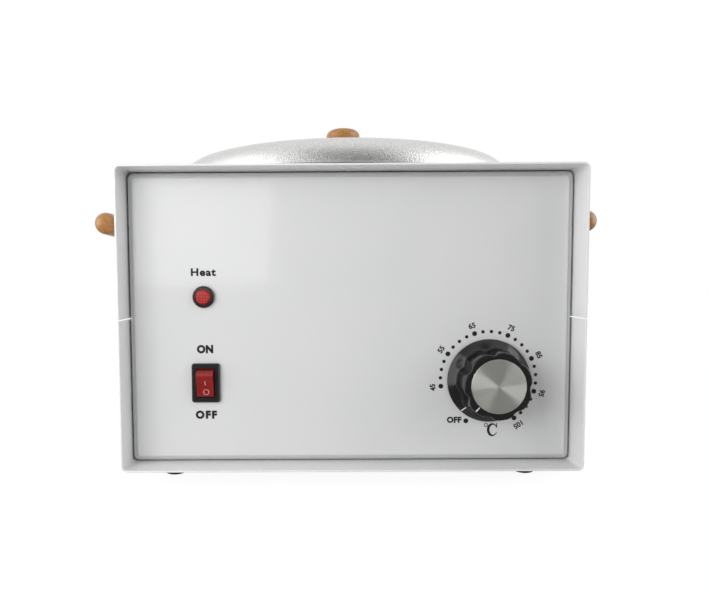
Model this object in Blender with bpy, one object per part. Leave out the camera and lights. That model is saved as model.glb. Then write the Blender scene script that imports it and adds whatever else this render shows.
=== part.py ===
"""Paraffin bath with a lift-out pot, built from its separate pieces.

Metres, +Z up, front panel towards -Y. Z is 0 under the rubber feet.
"""
import math

import bmesh
import bpy
from mathutils import Vector
from mathutils.geometry import interpolate_bezier

for leftover in list(bpy.data.objects):
    bpy.data.objects.remove(leftover, do_unlink=True)

# Casing: two folded steel shells and two recessed pans
CASE_WIDTH = 0.240
CASE_DEPTH = 0.240
CASE_HEIGHT = 0.158
SHEET = 0.001
FOLD_RADIUS = 0.003
SEAM_GAP = 0.0006
PANEL_RECESS = 0.015
PANEL_GAP = 0.0006
PANEL_CORNER_RADIUS = 0.003
PANEL_BEND_RADIUS = 0.002
PANEL_FLANGE = 0.007
OVERLAY_THICKNESS = 0.0004
OVERLAY_INSET = 0.003

# Gaps shared by all pieces
SEAT_GAP = 0.0003
HOLE_CLEARANCE = 0.0003
CUT_OVERRUN = 0.002
WELD_DISTANCE = 0.000001

# Rubber feet with push-in stems
FOOT_HEIGHT = 0.010
FOOT_TOP_RADIUS = 0.008
FOOT_BASE_RADIUS = 0.006
FOOT_EDGE_RADIUS = 0.001
FOOT_STEM_RADIUS = 0.002
FOOT_BARB_RADIUS = 0.0028
FOOT_BARB_HEIGHT = 0.003
FOOT_SIDE_INSET = 0.021
FOOT_END_INSET = 0.031

# Fixed heating well
UNDER_WELL_SPACE = 0.0458
WELL_WALL = 0.0012
WELL_FLOOR = 0.0015
WELL_CORNER_RADIUS = 0.012
WELL_FLANGE = 0.001
WELL_FLANGE_MARGIN = 0.0005
WELL_HOLE_CLEARANCE = 0.0012
STUD_RADIUS = 0.003
STUD_PROJECTION = 0.0065
WELL_NUT_ACROSS = 0.010
WELL_NUT_HEIGHT = 0.004
WELL_WASHER_RADIUS = 0.008
WELL_WASHER = 0.001

# Band heater and its jacket
BAND_THICKNESS = 0.002
BAND_HEIGHT = 0.046
BAND_BASE_ABOVE_WELL_FLOOR = 0.0225
BAND_SLIT = 0.010
BAND_EAR_LENGTH = 0.007
BAND_EAR_THICKNESS = 0.0012
BAND_EAR_HEIGHT = 0.014
BAND_SCREW_RADIUS = 0.0015
BAND_HEAD_RADIUS = 0.003
BAND_HEAD_HEIGHT = 0.0018
JACKET_CLEARANCE = 0.0019
JACKET_THICKNESS = 0.0055
JACKET_HEIGHT = 0.050
JACKET_BASE_ABOVE_BAND_BASE = 0.0025
JACKET_SLIT = 0.034

# Lift-out pot
POT_WALL = 0.0015
POT_SIDE_CLEARANCE = 0.001
POT_FLOOR_CLEARANCE = 0.001
POT_CORNER_RADIUS = 0.011
POT_LIP_RADIUS = 0.003
POT_BEAD_RADIUS = 0.0016
POT_RIM_CLEARANCE = 0.0027

# Spun lid with its wood knob
LID_OVERHANG = 0.0192
LID_WALL = 0.0012
LID_BEAD_RADIUS = 0.0014
LID_SHOULDER_WIDTH = 0.012
LID_SHOULDER_HEIGHT = 0.014
LID_CROWN = 0.012
KNOB_RADIUS = 0.0117
KNOB_NECK_RADIUS = 0.0075
KNOB_BASE_RADIUS = 0.009
KNOB_HEIGHT = 0.0174
KNOB_NECK_HEIGHT = 0.0045
KNOB_WAIST_HEIGHT = 0.0095
KNOB_EDGE_RADIUS = 0.0045
KNOB_CROWN = 0.0015
LID_SCREW_RADIUS = 0.002
LID_SCREW_LENGTH = 0.012
LID_SCREW_HEAD_RADIUS = 0.004
LID_SCREW_HEAD_HEIGHT = 0.002

# Wood handles on turned metal posts
GRIP_LENGTH = 0.092
GRIP_RADIUS = 0.0077
GRIP_END_RADIUS = 0.0070
GRIP_STANDOFF = 0.0340
GRIP_DROP = 0.022
POST_END_INSET = 0.015
POST_RADIUS = 0.004
POST_COLLAR_RADIUS = 0.0055
POST_COLLAR_LENGTH = 0.003
POST_SPIGOT_RADIUS = 0.0025
POST_SPIGOT_LENGTH = 0.007
POST_STUD_RADIUS = 0.002
POST_STUD_LENGTH = 0.0055
POST_NUT_ACROSS = 0.007
POST_NUT_HEIGHT = 0.0032

# Side screws through the shells into the pan flanges
SIDE_SCREW_RADIUS = 0.0015
SIDE_SCREW_LENGTH = 0.005
SIDE_SCREW_HEAD_RADIUS = 0.003
SIDE_SCREW_HEAD_HEIGHT = 0.0018
SIDE_SCREW_END_INSET = 0.030

# Dial: skirted knob with lobes, metal cap, spindle
DIAL_SIDE_INSET = 0.0462
DIAL_HEIGHT = 0.0452
DIAL_LOBES = 7
DIAL_PANEL_CLEARANCE = 0.0008
DIAL_SKIRT_RADIUS = 0.0222
DIAL_SKIRT_EDGE = 0.0014
DIAL_SKIRT_RISE = 0.0026
DIAL_LOBE_BASE_RADIUS = 0.0179
DIAL_LOBE_TOP_RADIUS = 0.0176
DIAL_FLUTE_DEPTH = 0.0017
DIAL_GRIP_LENGTH = 0.0148
DIAL_TOP_CHAMFER = 0.0009
DIAL_CAP_RADIUS = 0.01385
DIAL_CAP_THICKNESS = 0.0010
DIAL_CAP_DEPTH = 0.0008
DIAL_CAP_CROWN = 0.0002
DIAL_HUB_RADIUS = 0.0055
DIAL_RECESS_RADIUS = 0.0190
DIAL_RECESS_DEPTH = 0.0016
DIAL_BORE_DEPTH = 0.011
SPINDLE_RADIUS = 0.003
SPINDLE_FLAT = 0.0015
DIAL_REST_DEGREES = 137.5

# Thermostat behind the dial, with its bulb under the well
THERMOSTAT_WIDTH = 0.038
THERMOSTAT_HEIGHT = 0.034
THERMOSTAT_DEPTH = 0.016
THERMOSTAT_CORNER = 0.002
BRACKET_WIDTH = 0.044
BRACKET_HEIGHT = 0.022
BRACKET_THICKNESS = 0.002
THERMOSTAT_SCREW_SPACING = 0.028
THERMOSTAT_SCREW_RADIUS = 0.002
THERMOSTAT_SCREW_LENGTH = 0.006
THERMOSTAT_SCREW_HEAD_RADIUS = 0.0036
THERMOSTAT_SCREW_HEAD_HEIGHT = 0.0015
BLADE_WIDTH = 0.0048
BLADE_THICKNESS = 0.0008
BLADE_LENGTH = 0.007
THERMOSTAT_BLADE_SPACING = 0.016
THERMOSTAT_BLADE_DROP = 0.004
BULB_RADIUS = 0.003
BULB_LENGTH = 0.060
BULB_X = 0.010
BULB_Y = -0.045
CLIP_WIDTH = 0.010
CLIP_THICKNESS = 0.0008
CLIP_LEG = 0.006

# Rocker switch
SWITCH_SIDE_INSET = 0.0423
SWITCH_HEIGHT = 0.0445
SWITCH_WIDTH = 0.015
SWITCH_LENGTH = 0.021
SWITCH_FLANGE = 0.0018
SWITCH_FLANGE_CHAMFER = 0.0006
SWITCH_CORNER = 0.0009
SWITCH_HOUSING_WIDTH = 0.0126
SWITCH_HOUSING_LENGTH = 0.0188
SWITCH_HOUSING_DEPTH = 0.017
SWITCH_BLADE_SPACING = 0.007
ROCKER_RADIUS = 0.0076
ROCKER_WIDTH = 0.0090
ROCKER_PIVOT_DEPTH = 0.002
ROCKER_FACE_HEIGHT = 0.00405
ROCKER_FACE_SLOPE_DEGREES = 6.0
ROCKER_UNDERSIDE = 0.0040
ROCKER_TILT_DEGREES = 15.0

# Lamp
LAMP_SIDE_INSET = 0.0417
LAMP_HEIGHT = 0.0906
LAMP_FLANGE_RADIUS = 0.00585
LAMP_FLANGE = 0.0014
LAMP_BUTTON_RADIUS = 0.0037
LAMP_BUTTON_HEIGHT = 0.0016
LAMP_BUTTON_BEVEL = 0.0007
LAMP_NECK_RADIUS = 0.0045
LAMP_NECK_LENGTH = 0.006
LAMP_COLLAR_RADIUS = 0.0075
LAMP_COLLAR = 0.0015
LAMP_HOLDER_RADIUS = 0.0056
LAMP_HOLDER_LENGTH = 0.018
LAMP_PIN_RADIUS = 0.001
LAMP_PIN_LENGTH = 0.003

# Mains inlet in the rear panel
INLET_SIDE_INSET = 0.050
INLET_HEIGHT = 0.036
INLET_FLANGE_LENGTH = 0.050
INLET_FLANGE_HEIGHT = 0.022
INLET_FLANGE = 0.003
INLET_FLANGE_CORNER = 0.004
INLET_SCREW_SPACING = 0.040
INLET_SCREW_RADIUS = 0.0015
INLET_SCREW_LENGTH = 0.008
INLET_SCREW_HEAD_RADIUS = 0.0029
INLET_SCREW_HEAD_HEIGHT = 0.0016
INLET_BODY_WIDTH = 0.0270
INLET_BODY_HEIGHT = 0.0198
INLET_BODY_DEPTH = 0.018
INLET_MOUTH_WIDTH = 0.0240
INLET_MOUTH_HEIGHT = 0.0160
INLET_MOUTH_DEPTH = 0.0160
INLET_MOUTH_CHAMFER = 0.005
INLET_PIN_LENGTH = 0.0110
INLET_PIN_WIDTH = 0.004
INLET_PIN_THICKNESS = 0.002
INLET_PIN_SPACING = 0.014
INLET_EARTH_RISE = 0.004

# Terminal block on the floor
BLOCK_FROM_INLET = 0.040
BLOCK_END_INSET = 0.046
BLOCK_LENGTH = 0.028
BLOCK_WIDTH = 0.016
BLOCK_HEIGHT = 0.013
BLOCK_WAYS = 3
BLOCK_WAY_RADIUS = 0.0016
BLOCK_SCREW_WELL_RADIUS = 0.0021
BLOCK_SCREW_WELL_DEPTH = 0.004
BLOCK_EDGE = 0.001

# Internal wiring
LEAD_RADIUS = 0.0011
LEAD_STUB = 0.007
HEATER_LEAD_DEGREES = -22.0
RETURN_LEAD_DEGREES = 108.0
CAPILLARY_RADIUS = 0.0008

# Facets
SPIN_STEPS = 40
KNOB_STEPS = 24
SMALL_STEPS = 14
SCREW_STEPS = 8
ARC_STEPS = 3
LOBE_STEPS = 8
TUBE_BEVEL_RESOLUTION = 2
ROUTE_BEND_DEGREES = 16.0
SMOOTH_ANGLE = math.radians(35)

# Places worked out from the sizes above
FULL_TURN = 2 * math.pi
QUARTER = math.pi / 2
HALF_TURN = math.pi
CASE_BASE_Z = FOOT_HEIGHT
CASE_TOP_Z = CASE_BASE_Z + CASE_HEIGHT
CASE_FRONT_Y = -CASE_DEPTH / 2
SEAM_Z = CASE_BASE_Z + CASE_HEIGHT / 2
FLOOR_Z = CASE_BASE_Z + SHEET
PANEL_FRONT_Y = CASE_FRONT_Y + PANEL_RECESS
PANEL_BACK_Y = PANEL_FRONT_Y + SHEET
OVERLAY_FACE = SEAT_GAP + OVERLAY_THICKNESS
DIAL_PROUD_OF_PANEL = (
    OVERLAY_FACE + DIAL_PANEL_CLEARANCE + DIAL_SKIRT_EDGE + DIAL_SKIRT_RISE
    + DIAL_GRIP_LENGTH
)
CAP_PROUD_OF_PANEL = DIAL_PROUD_OF_PANEL - DIAL_CAP_DEPTH + SEAT_GAP + DIAL_CAP_THICKNESS + DIAL_CAP_CROWN
FRONT_OVERHANG = CAP_PROUD_OF_PANEL - PANEL_RECESS
JACKET_OUTER_RADIUS = min(CASE_WIDTH / 2 - SHEET, -PANEL_BACK_Y) - JACKET_CLEARANCE
JACKET_INNER_RADIUS = JACKET_OUTER_RADIUS - JACKET_THICKNESS
BAND_OUTER_RADIUS = JACKET_INNER_RADIUS - SEAT_GAP
BAND_INNER_RADIUS = BAND_OUTER_RADIUS - BAND_THICKNESS
BAND_MID_RADIUS = BAND_OUTER_RADIUS - BAND_THICKNESS / 2
WELL_OUTER_RADIUS = BAND_INNER_RADIUS - SEAT_GAP
WELL_INNER_RADIUS = WELL_OUTER_RADIUS - WELL_WALL
LID_RADIUS = WELL_INNER_RADIUS + LID_OVERHANG
WELL_FLANGE_RADIUS = LID_RADIUS + WELL_FLANGE_MARGIN
POT_RIM_RADIUS = LID_RADIUS - 2 * LID_BEAD_RADIUS - POT_RIM_CLEARANCE
WELL_UNDERSIDE_Z = CASE_BASE_Z + UNDER_WELL_SPACE
WELL_FLOOR_Z = WELL_UNDERSIDE_Z + WELL_FLOOR
WELL_RIM_Z = CASE_TOP_Z + SEAT_GAP + WELL_FLANGE
BAND_BASE_Z = WELL_FLOOR_Z + BAND_BASE_ABOVE_WELL_FLOOR
JACKET_BASE_Z = BAND_BASE_Z + JACKET_BASE_ABOVE_BAND_BASE
GRIP_Z = CASE_TOP_Z - GRIP_DROP
POST_SPACING = GRIP_LENGTH - 2 * POST_END_INSET
DIAL_X = CASE_WIDTH / 2 - DIAL_SIDE_INSET
DIAL_Z = CASE_BASE_Z + DIAL_HEIGHT
SWITCH_X = SWITCH_SIDE_INSET - CASE_WIDTH / 2
SWITCH_Z = CASE_BASE_Z + SWITCH_HEIGHT
LAMP_X = LAMP_SIDE_INSET - CASE_WIDTH / 2
LAMP_Z = CASE_BASE_Z + LAMP_HEIGHT
INLET_X = INLET_SIDE_INSET - CASE_WIDTH / 2
INLET_Z = CASE_BASE_Z + INLET_HEIGHT
BLOCK_X = INLET_X + BLOCK_FROM_INLET
BLOCK_Y = CASE_DEPTH / 2 - BLOCK_END_INSET

# Turns that point a piece's own +Z at a side of the casing
UP = (0, 0, 0)
DOWN = (HALF_TURN, 0, 0)
FRONT = (QUARTER, 0, 0)
BACK = (QUARTER, 0, HALF_TURN)
RIGHT = (0, QUARTER, 0)
LEFT = (0, -QUARTER, 0)

# Everything hangs on one empty, set so that the whole box is centred on the origin
bath = bpy.data.objects.new("bath", None)
bath.location = (0, FRONT_OVERHANG / 2, 0)
bpy.context.collection.objects.link(bath)


def finish(name, colour, roughness, metallic=0.0):
    """A plain surface finish."""
    material = bpy.data.materials.new(name)
    material.use_nodes = True
    shader = material.node_tree.nodes["Principled BSDF"]
    shader.inputs["Base Color"].default_value = (*colour, 1.0)
    shader.inputs["Roughness"].default_value = roughness
    shader.inputs["Metallic"].default_value = metallic
    return material


WHITE_POWDER_COAT = finish("white powder coat", (0.80, 0.81, 0.81), 0.35)
OVERLAY_FILM = finish("white gloss film", (0.76, 0.76, 0.75), 0.15)
SPUN_ALUMINIUM = finish("spun aluminium", (0.78, 0.78, 0.77), 0.35, 1.0)
CAP_ALUMINIUM = finish("turned aluminium", (0.85, 0.85, 0.83), 0.22, 1.0)
ZINC_STEEL = finish("zinc-plated steel", (0.62, 0.62, 0.60), 0.35, 1.0)
BEECH = finish("varnished beech", (0.62, 0.37, 0.16), 0.38)
BLACK_BAKELITE = finish("black bakelite", (0.012, 0.013, 0.014), 0.22)
BLACK_NYLON = finish("black nylon", (0.018, 0.019, 0.020), 0.45)
BLACK_RUBBER = finish("black rubber", (0.015, 0.015, 0.015), 0.85)
RED_LENS = finish("red lens", (0.55, 0.015, 0.012), 0.15)
MICA_STEEL = finish("mica band steel", (0.50, 0.49, 0.46), 0.40, 1.0)
GLASS_FIBRE = finish("glass fibre", (0.78, 0.76, 0.70), 0.95)
COPPER = finish("copper", (0.80, 0.42, 0.26), 0.30, 1.0)
CREAM_NYLON = finish("cream nylon", (0.80, 0.77, 0.68), 0.50)
BROWN_PVC = finish("brown lead", (0.16, 0.06, 0.025), 0.50)
BLUE_PVC = finish("blue lead", (0.03, 0.12, 0.42), 0.50)
GREEN_PVC = finish("green lead", (0.08, 0.38, 0.09), 0.50)


def arc(centre, radius, start, end, steps=ARC_STEPS):
    """Points along an arc in a plane, angles in degrees."""
    points = []
    for step in range(steps + 1):
        angle = math.radians(start + (end - start) * step / steps)
        points.append((centre[0] + radius * math.cos(angle), centre[1] + radius * math.sin(angle)))
    return points


def rounded_rectangle(width, height, radius, steps=ARC_STEPS):
    """Outline of a rectangle with round corners, centred on the origin."""
    across = width / 2 - radius
    up = height / 2 - radius
    outline = arc((across, up), radius, 0, 90, steps)
    outline += arc((-across, up), radius, 90, 180, steps)
    outline += arc((-across, -up), radius, 180, 270, steps)
    outline += arc((across, -up), radius, 270, 360, steps)
    return outline


def circle(radius, steps, centre=(0, 0)):
    """Outline of a circle."""
    return arc(centre, radius, 0, 360 - 360 / steps, steps - 1)


def hexagon(across_flats):
    """Outline of a nut."""
    return circle(across_flats / 2 / math.cos(math.pi / 6), 6)


def prism(outline, base, top):
    """An outline in X and Y, extruded from base to top along Z."""
    bm = bmesh.new()
    face = bm.faces.new([bm.verts.new((x, y, base)) for x, y in outline])
    extruded = bmesh.ops.extrude_face_region(bm, geom=[face])["geom"]
    lifted = [part for part in extruded if isinstance(part, bmesh.types.BMVert)]
    bmesh.ops.translate(bm, verts=lifted, vec=(0, 0, top - base))
    return bm


def block(width, depth, base, top, centre=(0, 0)):
    """A plain block."""
    across = width / 2
    along = depth / 2
    corners = [(across, along), (-across, along), (-across, -along), (across, -along)]
    return prism([(centre[0] + x, centre[1] + y) for x, y in corners], base, top)


def at_height(vert, height):
    """Whether a vertex lies at a height."""
    return abs(vert.co.z - height) < WELD_DISTANCE


def round_edges(bm, height, radius, segments):
    """Round or chamfer the edges that lie at a height."""
    edges = [edge for edge in bm.edges if all(at_height(vert, height) for vert in edge.verts)]
    bmesh.ops.bevel(bm, geom=edges, offset=radius, segments=segments, profile=0.5, affect="EDGES")


def turned(profile, steps, closed=False, sweep=FULL_TURN):
    """Solid of revolution about Z from points of radius and height."""
    bm = bmesh.new()
    verts = [bm.verts.new((radius, 0, height)) for radius, height in profile]
    edges = [bm.edges.new(pair) for pair in zip(verts, verts[1:])]
    if closed:
        edges.append(bm.edges.new((verts[-1], verts[0])))
    whole = sweep == FULL_TURN
    if not whole and closed:
        bmesh.ops.contextual_create(bm, geom=edges)
    bmesh.ops.spin(
        bm,
        geom=bm.verts[:] + bm.edges[:] + bm.faces[:],
        cent=(0, 0, 0),
        axis=(0, 0, 1),
        angle=sweep,
        steps=steps,
        use_merge=whole,
    )
    bmesh.ops.remove_doubles(bm, verts=bm.verts[:], dist=WELD_DISTANCE)
    return bm


def lofted(rings):
    """Rings of equal count, bridged in order and closed with a flat face at each end."""
    bm = bmesh.new()
    loops = []
    for ring in rings:
        loops.append([bm.verts.new(point) for point in ring])
    for lower, upper in zip(loops, loops[1:]):
        for index in range(len(lower)):
            after = (index + 1) % len(lower)
            bm.faces.new((lower[index], lower[after], upper[after], upper[index]))
    for loop in (loops[0], loops[-1]):
        bm.faces.new(loop)
    return bm


def to_object(name, bm, at, turn, parent):
    """A bmesh as a placed object, with its faces pointing out."""
    if bm.faces:
        bmesh.ops.recalc_face_normals(bm, faces=bm.faces[:])
    mesh = bpy.data.meshes.new(name)
    bm.to_mesh(mesh)
    bm.free()
    placed = bpy.data.objects.new(name, mesh)
    placed.location = at
    placed.rotation_euler = turn
    placed.parent = parent
    bpy.context.collection.objects.link(placed)
    return placed


def piece(name, bm, material, at=(0, 0, 0), turn=UP, parent=bath):
    """One named sub-part with its own finish."""
    placed = to_object(name, bm, at, turn, parent)
    placed.data.materials.append(material)
    placed.data.shade_smooth()
    placed.data.set_sharp_from_angle(angle=SMOOTH_ANGLE)
    return placed


def helper(target, operation, bm, at, turn, parent):
    """A hidden operand of a Boolean modifier on a sub-part."""
    count = len(target.modifiers)
    operand = to_object(f"{target.name}_operand_{count}", bm, at, turn, parent)
    operand.hide_render = True
    operand.display_type = "WIRE"
    modifier = target.modifiers.new(operation.lower(), "BOOLEAN")
    modifier.operation = operation
    modifier.solver = "EXACT"
    modifier.object = operand


def cut(target, bm, at=(0, 0, 0), turn=UP, parent=bath):
    """Take a shape out of a sub-part."""
    helper(target, "DIFFERENCE", bm, at, turn, parent)


def fuse(target, bm, at=(0, 0, 0), turn=UP, parent=bath):
    """Add a shape to a sub-part."""
    helper(target, "UNION", bm, at, turn, parent)


def fold(name, outline, material):
    """A sheet folded along an outline in X and Z, running the depth of the casing."""
    bm = bmesh.new()
    verts = [bm.verts.new((x, -CASE_DEPTH / 2, z)) for x, z in outline]
    edges = [bm.edges.new(pair) for pair in zip(verts, verts[1:])]
    extruded = bmesh.ops.extrude_edge_only(bm, edges=edges)["geom"]
    moved = [part for part in extruded if isinstance(part, bmesh.types.BMVert)]
    bmesh.ops.translate(bm, verts=moved, vec=(0, CASE_DEPTH, 0))
    sheet = piece(name, bm, material)
    wall = sheet.modifiers.new("sheet", "SOLIDIFY")
    wall.thickness = SHEET
    wall.offset = -1
    wall.use_even_offset = True
    return sheet


def screw_profile(head_radius, head_height, shank_radius, length):
    """Pan-head screw with its head above 0 and its shank below."""
    crown = head_height / 2
    return [
        (0, head_height),
        (head_radius - crown, head_height),
        (head_radius, head_height - crown),
        (head_radius, 0),
        (shank_radius, 0),
        (shank_radius, -length),
        (0, -length),
    ]


# Casing shells
def half_fold(edge_z, face_z):
    """Half of a shell's folded outline, from its free edge to the middle of its face."""
    side = CASE_WIDTH / 2
    inward = 1 if edge_z > face_z else -1
    corner = (side - FOLD_RADIUS, face_z + inward * FOLD_RADIUS)
    bend = arc(corner, FOLD_RADIUS, 0, -90 * inward)
    return [(side, edge_z)] + bend


def shell_outline(edge_z, face_z):
    """Both halves of a shell's folded outline."""
    right = half_fold(edge_z, face_z)
    left = [(-x, z) for x, z in reversed(right)]
    return right + left


def side_screw_places():
    """Side, Y and Z of each screw that joins a pan's flange to a shell."""
    straight = (PANEL_FLANGE + PANEL_BEND_RADIUS) / 2
    along = CASE_DEPTH / 2 - PANEL_RECESS - straight
    low = CASE_BASE_Z + SIDE_SCREW_END_INSET
    high = CASE_TOP_Z - SIDE_SCREW_END_INSET
    return [(side, y, z) for side in (-1, 1) for y in (-along, along) for z in (low, high)]


def side_drill(target, y, z, radius):
    """A hole through both side walls of a shell or a pan."""
    reach = CASE_WIDTH / 2 + CUT_OVERRUN
    cut(target, prism(circle(radius, SCREW_STEPS), -reach, reach), (0, y, z), RIGHT)


def make_shells():
    """The folded hood and tray."""
    upper = fold("upper_shell", shell_outline(SEAM_Z + SEAM_GAP / 2, CASE_TOP_Z), WHITE_POWDER_COAT)
    lower_outline = shell_outline(SEAM_Z - SEAM_GAP / 2, CASE_BASE_Z)
    lower = fold("lower_shell", list(reversed(lower_outline)), WHITE_POWDER_COAT)
    hole = circle(WELL_OUTER_RADIUS + WELL_HOLE_CLEARANCE, SPIN_STEPS)
    cut(upper, prism(hole, CASE_TOP_Z - SHEET - CUT_OVERRUN, CASE_TOP_Z + CUT_OVERRUN))
    screw_hole = SIDE_SCREW_RADIUS + HOLE_CLEARANCE
    post_hole = POST_STUD_RADIUS + HOLE_CLEARANCE
    for _, y, z in side_screw_places()[: len(side_screw_places()) // 2]:
        side_drill(upper if z > SEAM_Z else lower, y, z, screw_hole)
    for y in (-POST_SPACING / 2, POST_SPACING / 2):
        side_drill(upper, y, GRIP_Z, post_hole)
    floor_hole = CASE_BASE_Z - CUT_OVERRUN, FLOOR_Z + CUT_OVERRUN
    cut(lower, prism(circle(STUD_RADIUS + HOLE_CLEARANCE, SMALL_STEPS), *floor_hole))
    for x, y in foot_places().values():
        stem_hole = circle(FOOT_STEM_RADIUS + HOLE_CLEARANCE, SCREW_STEPS, (x, y))
        cut(lower, prism(stem_hole, *floor_hole))


# Recessed pans
def make_pan(name, turn):
    """An open-backed pan with bent edges, its face towards +Z of its own frame."""
    width = CASE_WIDTH - 2 * SHEET - 2 * PANEL_GAP
    height = CASE_HEIGHT - 2 * SHEET - 2 * PANEL_GAP
    outline = rounded_rectangle(width, height, PANEL_CORNER_RADIUS)
    bm = prism(outline, -PANEL_FLANGE, 0)
    round_edges(bm, 0, PANEL_BEND_RADIUS, 2)
    open_back = [face for face in bm.faces if all(at_height(vert, -PANEL_FLANGE) for vert in face.verts)]
    bmesh.ops.delete(bm, geom=open_back, context="FACES_ONLY")
    front = Vector((0, PANEL_FRONT_Y, CASE_BASE_Z + CASE_HEIGHT / 2))
    if turn == BACK:
        front.y = -front.y
    pan = piece(name, bm, WHITE_POWDER_COAT, front, turn)
    wall = pan.modifiers.new("sheet", "SOLIDIFY")
    wall.thickness = SHEET
    wall.offset = -1
    wall.use_even_offset = True
    for _, y, z in side_screw_places()[: len(side_screw_places()) // 2]:
        if (y < 0) == (turn == FRONT):
            side_drill(pan, y, z, SIDE_SCREW_RADIUS + HOLE_CLEARANCE)
    return pan


def panel_hole(target, outline, x, z, front=True):
    """A hole through a pan's face and anything laid on it."""
    y = PANEL_FRONT_Y if front else -PANEL_FRONT_Y
    reach = SHEET + CUT_OVERRUN
    cut(target, prism(outline, -reach, reach), (x, y, z), FRONT if front else BACK)


def make_panels():
    """Front pan with its printed film, and rear pan."""
    front = make_pan("front_panel", FRONT)
    rear = make_pan("rear_panel", BACK)
    width = CASE_WIDTH - 2 * SHEET - 2 * PANEL_GAP - 2 * OVERLAY_INSET
    height = CASE_HEIGHT - 2 * SHEET - 2 * PANEL_GAP - 2 * OVERLAY_INSET
    film = prism(
        rounded_rectangle(width, height, PANEL_CORNER_RADIUS / 2), SEAT_GAP, OVERLAY_FACE
    )
    middle = CASE_BASE_Z + CASE_HEIGHT / 2
    overlay = piece("panel_overlay", film, OVERLAY_FILM, (0, PANEL_FRONT_Y, middle), FRONT)
    switch_hole = rounded_rectangle(
        SWITCH_HOUSING_WIDTH + 2 * HOLE_CLEARANCE,
        SWITCH_HOUSING_LENGTH + 2 * HOLE_CLEARANCE,
        SWITCH_CORNER,
        1,
    )
    lamp_hole = circle(LAMP_NECK_RADIUS + HOLE_CLEARANCE, SMALL_STEPS)
    for sheet in (front, overlay):
        panel_hole(sheet, switch_hole, SWITCH_X, SWITCH_Z)
        panel_hole(sheet, lamp_hole, LAMP_X, LAMP_Z)
    panel_hole(front, circle(SPINDLE_RADIUS + 2 * HOLE_CLEARANCE, SMALL_STEPS), DIAL_X, DIAL_Z)
    for side in (-1, 1):
        screw_x = DIAL_X + side * THERMOSTAT_SCREW_SPACING / 2
        panel_hole(
            front, circle(THERMOSTAT_SCREW_RADIUS + HOLE_CLEARANCE, SCREW_STEPS), screw_x, DIAL_Z
        )
    under_knob = THERMOSTAT_SCREW_SPACING / 2 + THERMOSTAT_SCREW_HEAD_RADIUS + SEAT_GAP
    panel_hole(overlay, circle(under_knob, SMALL_STEPS), DIAL_X, DIAL_Z)
    inlet_hole = rounded_rectangle(
        INLET_BODY_WIDTH + 2 * HOLE_CLEARANCE,
        INLET_BODY_HEIGHT + 2 * HOLE_CLEARANCE,
        INLET_FLANGE_CORNER / 2,
        1,
    )
    panel_hole(rear, inlet_hole, INLET_X, INLET_Z, front=False)
    for side in (-1, 1):
        screw_x = INLET_X + side * INLET_SCREW_SPACING / 2
        screw_hole = circle(INLET_SCREW_RADIUS + HOLE_CLEARANCE, SCREW_STEPS)
        panel_hole(rear, screw_hole, screw_x, INLET_Z, front=False)


def make_side_screws():
    """Pan-head screws through the shells into the pan flanges."""
    profile = screw_profile(
        SIDE_SCREW_HEAD_RADIUS, SIDE_SCREW_HEAD_HEIGHT, SIDE_SCREW_RADIUS, SIDE_SCREW_LENGTH
    )
    for side, y, z in side_screw_places():
        row = "upper" if z > SEAM_Z else "lower"
        end = "front" if y < 0 else "rear"
        hand = "left" if side < 0 else "right"
        seat = side * (CASE_WIDTH / 2 + SEAT_GAP)
        turn = RIGHT if side > 0 else LEFT
        name = f"side_screw_{row}_{end}_{hand}"
        piece(name, turned(profile, SCREW_STEPS), ZINC_STEEL, (seat, y, z), turn)


# Feet
def foot_places():
    """Name and X, Y of each foot."""
    across = CASE_WIDTH / 2 - FOOT_SIDE_INSET
    along = CASE_DEPTH / 2 - FOOT_END_INSET
    return {
        "foot_front_left": (-across, -along),
        "foot_front_right": (across, -along),
        "foot_rear_left": (-across, along),
        "foot_rear_right": (across, along),
    }


def make_feet():
    """Tapered rubber feet whose barbed stems push through the floor."""
    top = FOOT_HEIGHT - SEAT_GAP
    barb = FLOOR_Z + SEAT_GAP
    profile = [
        (0, 0),
        (FOOT_BASE_RADIUS - FOOT_EDGE_RADIUS, 0),
        (FOOT_BASE_RADIUS, FOOT_EDGE_RADIUS),
        (FOOT_TOP_RADIUS, top),
        (FOOT_STEM_RADIUS, top),
        (FOOT_STEM_RADIUS, barb),
        (FOOT_BARB_RADIUS, barb),
        (FOOT_STEM_RADIUS, barb + FOOT_BARB_HEIGHT),
        (0, barb + FOOT_BARB_HEIGHT),
    ]
    for name, (x, y) in foot_places().items():
        piece(name, turned(profile, SMALL_STEPS), BLACK_RUBBER, (x, y, 0))


# Heating well, band heater and jacket
def make_well():
    """Drawn aluminium well with a flat flange and a hold-down stud under its floor."""
    stud_end = CASE_BASE_Z - STUD_PROJECTION
    corner_z = WELL_UNDERSIDE_Z + WELL_CORNER_RADIUS
    outer = arc(
        (WELL_OUTER_RADIUS - WELL_CORNER_RADIUS, corner_z), WELL_CORNER_RADIUS, -90, 0
    )
    inner_corner = WELL_CORNER_RADIUS - WELL_WALL
    inner = arc((WELL_INNER_RADIUS - inner_corner, WELL_FLOOR_Z + inner_corner), inner_corner, 0, -90)
    flange_z = WELL_RIM_Z - WELL_FLANGE
    profile = [(0, stud_end), (STUD_RADIUS, stud_end), (STUD_RADIUS, WELL_UNDERSIDE_Z)] + outer
    profile += [
        (WELL_OUTER_RADIUS, flange_z),
        (WELL_FLANGE_RADIUS, flange_z),
        (WELL_FLANGE_RADIUS, WELL_RIM_Z),
        (WELL_INNER_RADIUS, WELL_RIM_Z),
    ]
    profile += inner + [(0, WELL_FLOOR_Z)]
    piece("heating_well", turned(profile, SPIN_STEPS), SPUN_ALUMINIUM)


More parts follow.
